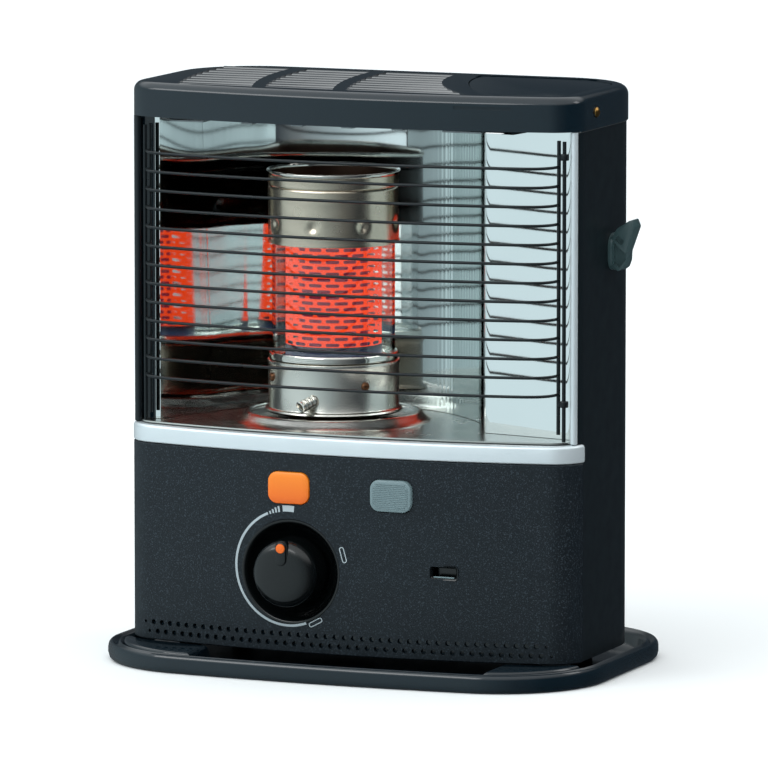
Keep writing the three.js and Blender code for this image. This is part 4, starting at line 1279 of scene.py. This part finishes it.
@dataclass
class Reflector:
    """The chamber's bright lining: left wing, curved back with flutes, right wing and deck."""

    low: float = 196.1
    high: float = 439.2
    crest: float = 445.4
    plate_front: float = -45.6
    sheet: float = 0.8
    seam_x: float = -150.0
    lower_z: float = 259.0
    lower: tuple[Point, ...] = ((-173.0, -57.0), (-153.3, -5.7), (-135.2, 31.7), (-110.8, 61.6), (-75.8, 79.1),
                                (-38.4, 85.4), (-0.8, 79.0), (33.0, 62.0), (60.0, 38.0), (84.0, 8.0), (103.0, -35.6))
    upper_z: float = 346.0
    upper: tuple[Point, ...] = ((-173.0, -57.0), (-156.1, -7.0), (-135.0, 33.8), (-111.3, 61.6), (-75.8, 79.2),
                                (-38.4, 85.4), (-0.8, 79.0), (33.0, 62.0), (60.0, 38.0), (84.0, 8.0), (103.0, -35.6))
    flute_start: float = 10.0
    flute_pitch: float = 5.6
    flute_depth: float = 0.06
    burner: Point = (-41.3, -4.7)

    def build(self) -> None:
        """Builds the lining and the deck."""
        foot, head = (smooth_path(self.line_at(z), 14) for z in (self.low, self.high))
        seam = next(i for i, p in enumerate(foot) if p[0] >= self.seam_x)
        edges = []
        for path in (foot, head):
            x, y = path[seam]
            edges.append([(-177.4, -57.0), *path[:seam], (x - 0.1, y - 0.2)])
        self.sheet_piece("left_reflector", edges[0], edges[1], "left_reflector_wing")
        self.sheet_piece("rear_reflector_sheet", self.fluted(foot[seam:]), self.fluted(head[seam:]), "rear_reflector")
        right = [(103.9, -36.0), (105.6, -37.0), (109.0, -37.6), (130.0, -41.0), (160.0, -46.2), (180.0, -49.8),
                 (184.6, -51.0), (186.6, -53.2), (187.0, -58.4)]
        self.sheet_piece("right_reflector", right, right, "right_reflector_wing")
        flange = block((-188.6, -57.9, self.low), (-177.6, -57.0, self.crest))
        piece("left_flange", flange, ENAMEL, CABINET)
        self.deck()

    def line_at(self, z: float) -> list[Point]:
        """Returns the lining's plan line at a height; the sheet twists slightly from foot to head."""
        share = (z - self.lower_z) / (self.upper_z - self.lower_z)
        return [(a[0] + (b[0] - a[0]) * share, a[1] + (b[1] - a[1]) * share) for a, b in zip(self.lower, self.upper)]

    def fluted(self, path: Sequence[Point]) -> list[Point]:
        """Adds shallow upright flutes to the right part of a path.

        Args:
            path: The plan line's points.

        Returns:
            The fluted line's points.
        """
        dense = smooth_path(path, 5)
        line, travelled = [], 0.0
        for before, here, after in zip(dense, dense[1:], dense[2:]):
            step = Vector(after) - Vector(before)
            travelled += (Vector(here) - Vector(before)).length
            share = min(max((here[0] - self.flute_start) / 15.0, 0.0), 1.0)
            wave = math.sin(2 * math.pi * travelled / self.flute_pitch) + 0.5 * math.sin(2.1 * travelled)
            shift = self.flute_depth * share * wave
            normal = Vector((-step.y, step.x)).normalized()
            line.append((here[0] + normal.x * shift, here[1] + normal.y * shift))
        return [dense[0], *line, dense[-1]]

    def sheet_piece(self, name: str, foot: Sequence[Point], head: Sequence[Point], node: str) -> None:
        """Raises a sheet from its plan line at the foot to its plan line at the head.

        Args:
            name: The piece's name.
            foot: The plan line at the bottom.
            head: The plan line at the top, with as many points.
            node: The CAD node that it replaces.
        """
        bm = bmesh.new()
        verts = [bm.verts.new(p) for p in level(foot, self.low)]
        edges = [bm.edges.new(pair) for pair in zip(verts, verts[1:])]
        grown = bmesh.ops.extrude_edge_only(bm, edges=edges)["geom"]
        fresh = {v for v in grown if isinstance(v, bmesh.types.BMVert)}
        for vert, (x, y) in zip(verts, head):
            point = Vector((x, y, self.crest if y < self.plate_front else self.high)) * MM
            next(e.other_vert(vert) for e in vert.link_edges if e.other_vert(vert) in fresh).co = point
        bmesh.ops.recalc_face_normals(bm, faces=bm.faces)
        if sum(face.normal.y for face in bm.faces) > 0:
            bmesh.ops.reverse_faces(bm, faces=bm.faces)
        bmesh.ops.solidify(bm, geom=list(bm.faces), thickness=self.sheet * MM)
        piece(name, bm, MIRROR_SHEET, CABINET, [node], 50.0)

    def deck(self) -> None:
        """Builds the deck with the rolled lip round the burner's opening."""
        top = 195.8
        slab = prism(level(BODY_PLAN.outline(3.2), top - 1.2), (0.0, 0.0, 1.2))
        x, y = self.burner
        tools = [rod((x, y, 190.0), (x, y, 200.0), 81.0, 128), block((106.4, -26.5, 190.0), (200.0, 120.0, 200.0))]
        tools += [rod((side * 190.5, -61.5, 190.0), (side * 190.5, -61.5, 200.0), 3.4) for side in (-1, 1)]
        lip = turned([(81.3, top - 1.2), (81.3, top), (79.0, top + 0.5), (75.0, top + 3.6), (73.0, top + 6.2),
                      (71.4, top + 7.5), (69.6, top + 7.8), (68.0, top + 7.0), (67.2, top + 4.0), (66.8, top - 6.0),
                      (66.0, top - 6.0), (66.4, top + 4.4), (67.2, top + 5.6), (70.0, top + 6.4), (72.0, top + 4.8),
                      (74.2, top + 2.2), (78.0, top - 0.8)], (x, y, 0.0), steps=128)
        piece("burner_deck_sheet", merged(cut(slab, *tools), lip), DECK_SHEET, CABINET, ["burner_deck"], 35.0)


@dataclass
class Burner:
    """The burner: base drum, glass, glowing net, inner cylinder and chimney."""

    x: float = -41.3
    y: float = -4.7
    drum: float = 53.5
    net: float = 39.3
    slot_rows: int = 18
    slots_round: int = 17
    net_bottom: float = 259.0
    net_top: float = 346.3
    slot_length: float = 11.4
    slot_height: float = 2.7
    dimple_turn: float = 4.2
    dimple_depth: float = 2.5
    dimple_reach: float = 4.3
    body: str = "burner_cylinders"

    def round(self, profile: Sequence[Point], steps: int = 128, closed: bool = True) -> bmesh.types.BMesh:
        """Turns a profile about the burner's upright axis."""
        return turned(profile, (self.x, self.y, 0.0), steps=steps, closed=closed)

    def build(self) -> None:
        """Builds every cylinder of the burner from the base up."""
        self.base()
        self.glass()
        self.glowing_net()
        self.inner()
        self.chimney()
        self.grip()

    def base(self) -> None:
        """Builds the base drum with its rolled foot, its top beads and its screws."""
        r = self.drum
        profile = [(40.0, 207.0), (52.0, 207.0), (52.0, 203.8), (54.8, 203.6), (56.0, 204.1), (56.4, 205.2),
                   (55.8, 206.4), (54.2, 207.0), (r, 208.0), (r, 242.6), (r + 0.5, 243.4), (r + 0.9, 244.6),
                   (r + 0.4, 246.0), (r - 0.8, 246.5),
                   (44.0, 246.5), (44.0, 245.0), (r - 1.5, 245.0), (r - 1.5, 209.0), (40.0, 209.0)]
        piece("base_drum_shell", self.round(profile), DRUM_STEEL, self.body, ["burner_base_drum"], 40.0)
        ring = [(43.0, 247.0), (43.0, 248.5), (46.0, 249.0), (47.2, 250.4), (48.4, 250.6), (49.4, 249.4), (51.0, 249.0),
                (51.7, 250.6), (51.8, 252.2), (52.3, 252.9), (52.8, 252.2), (53.2, 249.0), (53.0, 247.4), (52.4, 247.0)]
        piece("glass_holder", self.round(ring), BRIGHT_STEEL, self.body, ["glass_holder_ring"], 40.0)
        for number, (turn, z) in enumerate(((-46.7, 233.0), (51.3, 228.6), (180.0, 228.6)), 1):
            piece(f"base_screw_{number}", self.screw(turn, z), HOT_SCREW, self.body)

    def screw(self, turn: float, z: float) -> bmesh.types.BMesh:
        """Builds a small domed screw on the drum.

        Args:
            turn: Its angle from the front in degrees.
            z: Its height.

        Returns:
            The screw's mesh.
        """
        profile = [(0.0, -2.6), (1.6, -2.4), (2.8, -1.7), (3.6, -0.6), (3.7, 0.6), (0.0, 0.6)]
        bm = turned(profile, (0.0, -self.drum, 0.0), Axis.Y, 20, closed=False)
        slot = block((-3.0, -self.drum - 3.0, -0.4), (3.0, -self.drum - 1.7, 0.4))
        bm = cut(bm, slot)
        matrix = Matrix.Translation((self.x * MM, self.y * MM, z * MM)) @ Matrix.Rotation(math.radians(turn), 4, "Z")
        bmesh.ops.transform(bm, matrix=matrix, verts=bm.verts)
        return bm

    def glass(self) -> None:
        """Builds the clear outer cylinder, its ends ground round."""
        profile = [(48.3, 249.4), (49.3, 248.8), (50.3, 249.4), (50.3, 346.4), (49.3, 347.0), (48.3, 346.4)]
        piece("outer_glass_tube", self.round(profile), HEAT_GLASS, self.body, ["outer_glass"], 40.0)

    def cell(self, column: float, row: int, pitch: float, height: float) -> bmesh.types.BMesh:
        """Builds one flat cell of the net with its slot, unrolled in X and Z.

        Args:
            column: Its column, with a half for the odd rows.
            row: Its row.
            pitch: A column's width.
            height: A row's height.

        Returns:
            The cell, in millimetres.
        """
        bm = bmesh.new()
        x0, z0 = column * pitch, row * height
        half = pitch / 2
        frame_points = [(x0 - half, z0), (x0, z0), (x0 + half, z0), (x0 + half, z0 + height), (x0, z0 + height),
                        (x0 - half, z0 + height)]
        slot_points = rounded(x0, z0 + height / 2, self.slot_length, self.slot_height, self.slot_height / 2 - 0.02, 2)
        for points in (frame_points, slot_points):
            verts = [bm.verts.new(Vector((px, 0.0, pz))) for px, pz in points]
            for a, b in zip(verts, verts[1:] + verts[:1]):
                bm.edges.new((a, b))
        bmesh.ops.triangle_fill(bm, edges=bm.edges, use_beauty=True)
        return bm

    def glowing_net(self) -> None:
        """Builds the slotted net, rolled from flat cells, and the plain band below it."""
        pitch = 2 * math.pi * self.net / self.slots_round
        height = (self.net_top - self.net_bottom) / self.slot_rows
        flat = bmesh.new()
        for row in range(self.slot_rows):
            for column in range(self.slots_round):
                part = self.cell(column + 0.5 * (row % 2), row, pitch, height)
                mesh = bpy.data.meshes.new("cell")
                part.to_mesh(mesh)
                part.free()
                flat.from_mesh(mesh)
                bpy.data.meshes.remove(mesh)
        bmesh.ops.remove_doubles(flat, verts=flat.verts, dist=0.01)
        for vert in flat.verts:
            turn = vert.co.x / self.net
            vert.co = Vector((self.x + self.net * math.sin(turn), self.y - self.net * math.cos(turn),
                              self.net_bottom + vert.co.z)) * MM
        bmesh.ops.remove_doubles(flat, verts=flat.verts, dist=0.01 * MM)
        bmesh.ops.recalc_face_normals(flat, faces=flat.faces)
        bmesh.ops.solidify(flat, geom=list(flat.faces), thickness=0.6 * MM)
        piece("glowing_net_tube", flat, RED_HEAT, self.body, ["glowing_net"], 30.0)
        n = self.net
        band = [(n - 0.7, 249.0), (n + 0.6, 249.0), (n + 0.1, 250.5), (n - 0.1, 256.0), (n + 0.7, 258.4),
                (n + 0.7, 259.4), (n - 0.5, 259.4)]
        piece("net_foot_band", self.round(band), BLUE_ZONE, self.body)

    def inner(self) -> None:
        """Builds the inner flame cylinder and the spreader disc."""
        tube = [(27.2, 217.0), (28.0, 217.0), (28.0, 362.0), (27.2, 362.0)]
        piece("inner_flame_tube", self.round(tube, 72), DULL_HEAT, self.body,
              ["inner_flame_cylinder"], 30.0)
        disc = [(0.0, 362.5), (29.0, 362.5), (29.6, 363.2), (29.0, 364.0), (20.0, 364.0), (18.0, 365.2), (0.0, 365.2)]
        piece("spreader_disc", self.round(disc, 72, closed=False), HOT_STEEL, self.body,
              ["flame_spreader_disc"], 30.0)

    def chimney(self) -> None:
        """Builds the upper cylinder with its rolled rim, beads and ring of dimples."""
        r = self.drum
        dimple_rows = [350.0 + i for i in range(0, 19)]
        outside = [(r - 1.2, 342.0), (r + 0.3, 342.4), (r + 0.5, 344.0), (r - 0.3, 345.6), (r - 0.1, 347.2), (r, 348.0),
                   *[(r, z) for z in dimple_rows], (r, 386.0), (r - 0.1, 388.2), (r - 0.8, 388.8), (r - 0.1, 389.5),
                   (r, 391.0), (r, 398.6)]
        inside = [(r - 1.0, 398.6), (r - 1.0, 368.0), *[(r - 1.0, z) for z in dimple_rows[::-1]],
                  (r - 1.5, 349.0), (37.0, 349.0), (37.0, 347.4), (r - 1.5, 347.4)]
        bm = self.round(outside + inside, 192)
        axis = Vector((self.x, self.y)) * MM
        for vert in bm.verts:
            away = vert.co.xy - axis
            if away.length < (r - 3) * MM:
                continue
            turn = math.degrees(math.atan2(away.x, -away.y)) - self.dimple_turn
            offset = math.radians((turn + 22.5) % 45.0 - 22.5) * r
            reach = math.hypot(offset, vert.co.z / MM - 359.0)
            push = self.dimple_depth * math.exp(-((reach / self.dimple_reach) ** 2)) * MM
            vert.co.xy = axis + away * ((away.length - push) / away.length)
        piece("upper_cylinder", bm, HOT_STEEL, self.body, ["upper_chimney_cylinder"], 50.0)
        lining = [(q - (self.dimple_depth if z < 371 else 0.0), z) for q, z in
                  ((r - 1.1, 349.5), (r - 1.1, 370.9), (r - 1.1, 371.5), (r - 1.1, 398.4), (r - 1.6, 398.4),
                   (r - 1.6, 371.5), (r - 1.6, 370.9), (r - 1.6, 349.5))]
        piece("chimney_lining", self.round(lining, 128), SOOTED_STEEL, self.body)
        rim = [(r - 1.7, 398.4), (r + 0.2, 398.4), (r + 0.9, 399.6), (r + 1.3, 400.9), (r + 0.9, 401.7),
               (r - 0.1, 402.0), (r - 1.2, 401.7), (r - 1.7, 400.6)]
        piece("chimney_rim", self.round(rim), BRIGHT_STEEL, self.body, (), 60.0)

    def grip(self) -> None:
        """Builds the coil-spring grip on the front of the base drum."""
        turn, tip_turn, dip = math.radians(5.0), math.radians(-27.0), math.radians(17.0)
        root = Vector((self.x + self.drum * math.sin(turn), self.y - self.drum * math.cos(turn), 217.6))
        aim = Vector((math.sin(tip_turn) * math.cos(dip), -math.cos(tip_turn) * math.cos(dip), -math.sin(dip)))
        across = aim.cross(Vector((0.0, 0.0, 1.0))).normalized()
        over = across.cross(aim)
        turns, length, radius = 10, 14.5, 4.1
        coil = []
        for i in range(turns * 10 + 1):
            spin = 2 * math.pi * i / 10
            coil.append(root + aim * (length * i / (turns * 10)) + across * radius * math.cos(spin)
                        + over * radius * math.sin(spin))
        ring = [root + aim * length + across * radius * math.cos(0.4 * i) + over * radius * math.sin(0.4 * i)
                for i in range(17)]
        core = rod(root - aim, root + aim * (length - 2.5), 2.7)
        piece("spring_grip", merged(wire(coil, 0.74, 1), wire(ring, 1.0, 1), core), BRIGHT_STEEL, self.body,
              ["chimney_knob"])


@dataclass
class Guard:
    """The swing-out wire guard and its two upright rods."""

    count: int = 13
    top: float = 417.6
    pitch: float = 15.28
    radius: float = 1.25
    post_x: float = 178.5
    post_y: float = -64.5
    rod_x: float = 183.0
    rod_y: float = -64.0

    def build(self) -> None:
        """Builds the bars, posts, hinge eyes and rods."""
        parts = []
        for i in range(self.count):
            z = self.top - i * self.pitch
            half = [(171.5, -82.0), (165.0, -86.6), (150.0, -91.0), (100.0, -99.5), (50.0, -104.5)]
            line = [(-self.post_x + 1.4, self.post_y - 1.8, z - 1.2), (-self.post_x - 1.0, self.post_y - 3.4, z - 0.4),
                    (-self.post_x + 0.2, self.post_y - 7.0, z)]
            line += [(-x, y, z) for x, y in half] + [(0.0, -106.0, z)] + [(x, y, z) for x, y in reversed(half)]
            line += [(176.5, -74.0, z), (self.post_x - 0.3, self.post_y - 1.0, z)]
            parts.append(wire(line, self.radius))
        low, high = 201.8, 438.6
        for side in (-1, 1):
            x = side * self.post_x
            parts.append(rod((x, self.post_y, low), (x, self.post_y, high), 1.6))
        for z in (224.0, 423.0):
            parts.append(turned([(1.9, z), (3.4, z), (3.7, z + 0.6), (3.7, z + 4.4), (3.4, z + 5.0), (1.9, z + 5.0)],
                                (self.rod_x, self.rod_y, 0.0), steps=28))
            parts.append(block((self.post_x, self.rod_y - 2.0, z + 1.0), (self.rod_x - 2.2, self.rod_y + 0.2, z + 4.0)))
        piece("wire_guard_bars", merged(*parts), DARK_WIRE, "wire_guard", ["wire_guard"], 50.0)
        for name, side in (("pivot", 1), ("latch", -1)):
            x = side * self.rod_x
            upright_rod = rod((x, self.rod_y, 196.1), (x, self.rod_y, 438.0), 1.6)
            piece(f"guard_{name}_rod_bar", upright_rod, DARK_WIRE, CABINET, [f"guard_{name}_rod"])


@dataclass
class SideGrips:
    """The two moulded side grips with their base plates and finger faces."""

    outline: tuple[Point, ...] = ((195.6, 331.0), (203.5, 327.2), (207.4, 330.0), (209.3, 335.5), (209.8, 343.0),
                                  (217.0, 363.2), (214.6, 369.2), (212.6, 368.6), (202.0, 362.0), (198.4, 356.0),
                                  (195.6, 354.0))

    def build(self) -> None:
        """Builds both grips."""
        for name, side in (("left", -1), ("right", 1)):
            self.grip(name, side)

    def grip(self, name: str, side: int) -> None:
        """Builds one grip: a wedge with a scooped front on a rounded base plate.

        Args:
            name: The side's name, for the piece.
            side: -1 for the left one, 1 for the right one.
        """
        wedge = bevelled(prism(upright([(side * x, z) for x, z in self.outline], 4.0), (0.0, 17.5, 0.0)), 0.9, 2, 25.0)
        scoop_line = [(side * x, z) for x, z in ((200.0, 333.0), (205.0, 330.5), (209.6, 337.0), (209.8, 342.0),
                                                 (200.0, 350.0))]
        scoop = prism(upright(scoop_line, 0.0), (0.0, 6.6, 0.0))
        pocket_line = [(side * x, z) for x, z in ((200.4, 353.0), (206.0, 348.5), (208.4, 352.0), (203.0, 356.6))]
        pocket = prism(upright(pocket_line, 0.0), (0.0, 6.0, 0.0))
        wedge = cut(wedge, merged(scoop, pocket))
        oval = rounded(14.0, 342.5, 25.0, 30.0, 11.0)
        steps = [(0.0, 195.3), (0.0, 197.6), (0.7, 198.6), (1.8, 199.0)]
        rings = []
        for inset, x in steps:
            shrunk = [(14.0 + (y - 14.0) * (1 - inset / 12.5), 342.5 + (z - 342.5) * (1 - inset / 15.0))
                      for y, z in oval]
            rings.append([Vector((side * x, y, z)) * MM for y, z in shrunk])
        piece(f"side_grip_{name}", merged(wedge, loft(rings)), GRIP_NYLON, CABINET,
              [f"side_handle_{name}"], 30.0)


@dataclass
class InsideWorks:
    """Finishes for the CAD parts that are shown as they are."""

    finishes: dict[str, Finish] = field(default_factory=lambda: {
        "foot_front_left": RUBBER, "foot_front_right": RUBBER, "foot_rear_left": RUBBER, "foot_rear_right": RUBBER,
        "base_plate": ZINC, "lid_hinge_pin": ZINC, "tank_partition": ZINC, "heat_guard_plate": ZINC,
        "wick_shaft": ZINC, "ignition_lever": ZINC, "shutoff_lever": ZINC, "fuel_reservoir": ZINC,
        "cartridge_tank": ZINC, "float_bracket": ZINC, "pendulum_bracket": ZINC, "tank_cap": BLACK_ABS,
        "tank_handle": BLACK_ABS, "fuel_float": BLACK_ABS, "battery_case": BLACK_ABS, "wick": COTTON,
        "wick_outer_tube": DARK_BRASS, "wick_rack": BRASS, "igniter_plug": BRASS, "pendulum_weight": BRASS,
        "battery_cell_lower": CELL_JACKET, "battery_cell_upper": CELL_JACKET,
    })

    def build(self) -> None:
        """Dresses each CAD part."""
        for name, finish in self.finishes.items():
            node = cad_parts[name]
            node.data.materials.clear()
            node.data.materials.append(finish.material())
            LOG.info("%s keeps its CAD shape in %s", name, finish.name)


@dataclass
class Studio:
    """The camera, the lights and the plain pale floor."""

    azimuth: float = 22.2
    elevation: float = 7.5
    distance: float = 6.819
    lens: float = 391.45
    target: Point = (0.0, 0.0, 0.237)
    aim_right: float = 0.00114
    aim_up: float = -0.0108
    sky: float = 1.35

    def build(self) -> None:
        """Sets up the whole studio."""
        scene = bpy.context.scene
        scene.view_settings.view_transform = "Standard"
        scene.cycles.sample_clamp_indirect = 3.0
        scene.cycles.caustics_reflective = True
        self.camera()
        self.floor()
        self.surroundings()
        self.softbox("key_softbox", (-1.3, -2.5, 2.15), (3.2, 0.7), 30.0)
        self.softbox("right_softbox", (2.8, 1.2, 2.4), (1.0, 1.0), 8.0)

    def camera(self) -> None:
        """Places the camera at its viewing angle."""
        a, e = math.radians(self.azimuth), math.radians(self.elevation)
        back = Vector((math.sin(a) * math.cos(e), -math.cos(a) * math.cos(e), math.sin(e)))
        right = Vector((math.cos(a), math.sin(a), 0.0))
        up = back.cross(right)
        data = bpy.data.cameras.new("camera")
        data.lens = self.lens
        data.sensor_width = 36.0
        data.clip_end = 100.0
        data.dof.use_dof = False
        made = bpy.data.objects.new("camera", data)
        made.matrix_world = Matrix((right, up, back)).transposed().to_4x4()
        made.location = Vector(self.target) + back * self.distance + right * self.aim_right + up * self.aim_up
        bpy.context.scene.collection.objects.link(made)
        bpy.context.scene.camera = made

    def floor(self) -> None:
        """Lays a wide pale floor."""
        bm = bmesh.new()
        bmesh.ops.create_grid(bm, x_segments=1, y_segments=1, size=30.0)
        mesh = bpy.data.meshes.new("studio_floor")
        bm.to_mesh(mesh)
        bm.free()
        made = bpy.data.objects.new("studio_floor", mesh)
        paint = Finish("pale_floor", "f4f5f5", 0.9, specular=0.1, relief_mm=0.0, mottle=0.0)
        made.data.materials.append(paint.material())
        made.visible_glossy = False
        bpy.context.scene.collection.objects.link(made)
        made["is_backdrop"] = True

    def surroundings(self) -> None:
        """Lights the room softly, brighter at the front left than at the rear right."""
        world = bpy.data.worlds.new("studio")
        bpy.context.scene.world = world
        world.use_nodes = True
        tree = world.node_tree
        tree.nodes.clear()
        place = add_node(tree, "ShaderNodeTexCoord").outputs["Generated"]
        side = add_node(tree, "ShaderNodeVectorMath", {1: (-0.72, -0.69, 0.0)}, {0: place}, operation="DOT_PRODUCT")
        share = add_node(tree, "ShaderNodeMapRange", {"From Min": -1.0, "From Max": 1.0},
                         {"Value": side.outputs["Value"]}).outputs["Result"]
        ramp = add_node(tree, "ShaderNodeValToRGB", links={"Fac": share})
        stops = ((0.0, (0.05, 0.06, 0.07, 1.0)), (0.3, (0.04, 0.05, 0.06, 1.0)), (0.55, (0.17, 0.19, 0.2, 1.0)),
                 (0.76, (0.37, 0.45, 0.48, 1.0)), (0.93, (0.62, 0.75, 0.79, 1.0)), (1.0, (0.76, 0.90, 0.95, 1.0)))
        elements = ramp.color_ramp.elements
        while len(elements) < len(stops):
            elements.new(0.5)
        for element, (position, color) in zip(elements, stops):
            element.position = position
            element.color = color
        height = add_node(tree, "ShaderNodeSeparateXYZ", links={"Vector": place}).outputs["Z"]
        lift = add_node(tree, "ShaderNodeMapRange", {"From Min": 0.3, "From Max": 0.7, "To Max": self.sky},
                        {"Value": height}, interpolation_type="SMOOTHSTEP").outputs["Result"]
        ceiling = add_node(tree, "ShaderNodeBackground", {"Color": (0.96, 0.99, 1.0, 1.0)}, {"Strength": lift})
        back = add_node(tree, "ShaderNodeBackground", {"Strength": 1.0}, {"Color": ramp.outputs["Color"]})
        both = add_node(tree, "ShaderNodeAddShader", links={0: back.outputs["Background"],
                                                            1: ceiling.outputs["Background"]})
        add_node(tree, "ShaderNodeOutputWorld", links={"Surface": both.outputs["Shader"]})

    def softbox(self, name: str, place: Point, size: Point, power: float) -> None:
        """Adds one area light that is aimed at the middle of the object.

        Args:
            name: The light's name.
            place: Where it stands, in metres.
            size: Its width and height in metres.
            power: Its power in watts.
        """
        data = bpy.data.lights.new(name, "AREA")
        data.shape = "RECTANGLE"
        data.size, data.size_y = size
        data.energy = power
        made = bpy.data.objects.new(name, data)
        made.location = place
        made.rotation_euler = (Vector(place) - Vector(self.target)).to_track_quat("Z", "Y").to_euler()
        bpy.context.scene.collection.objects.link(made)


def corners() -> list[list[float]]:
    """Returns the shown object's lowest and highest corners as plain lists."""
    return [[round(c, 6) for c in corner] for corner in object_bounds()]


def main() -> None:
    """Builds every sub-assembly in order."""
    logging.basicConfig(level=logging.INFO, format="%(name)s: %(message)s")
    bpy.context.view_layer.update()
    for assembly in (Studio(), DripTray(), Casing(), TopCover(), FrontPanel(), Controls(), Reflector(), Burner(),
                     Guard(), SideGrips(), InsideWorks()):
        assembly.build()
        LOG.info("built %s", type(assembly).__name__)


if __name__ == "__main__":
    main()
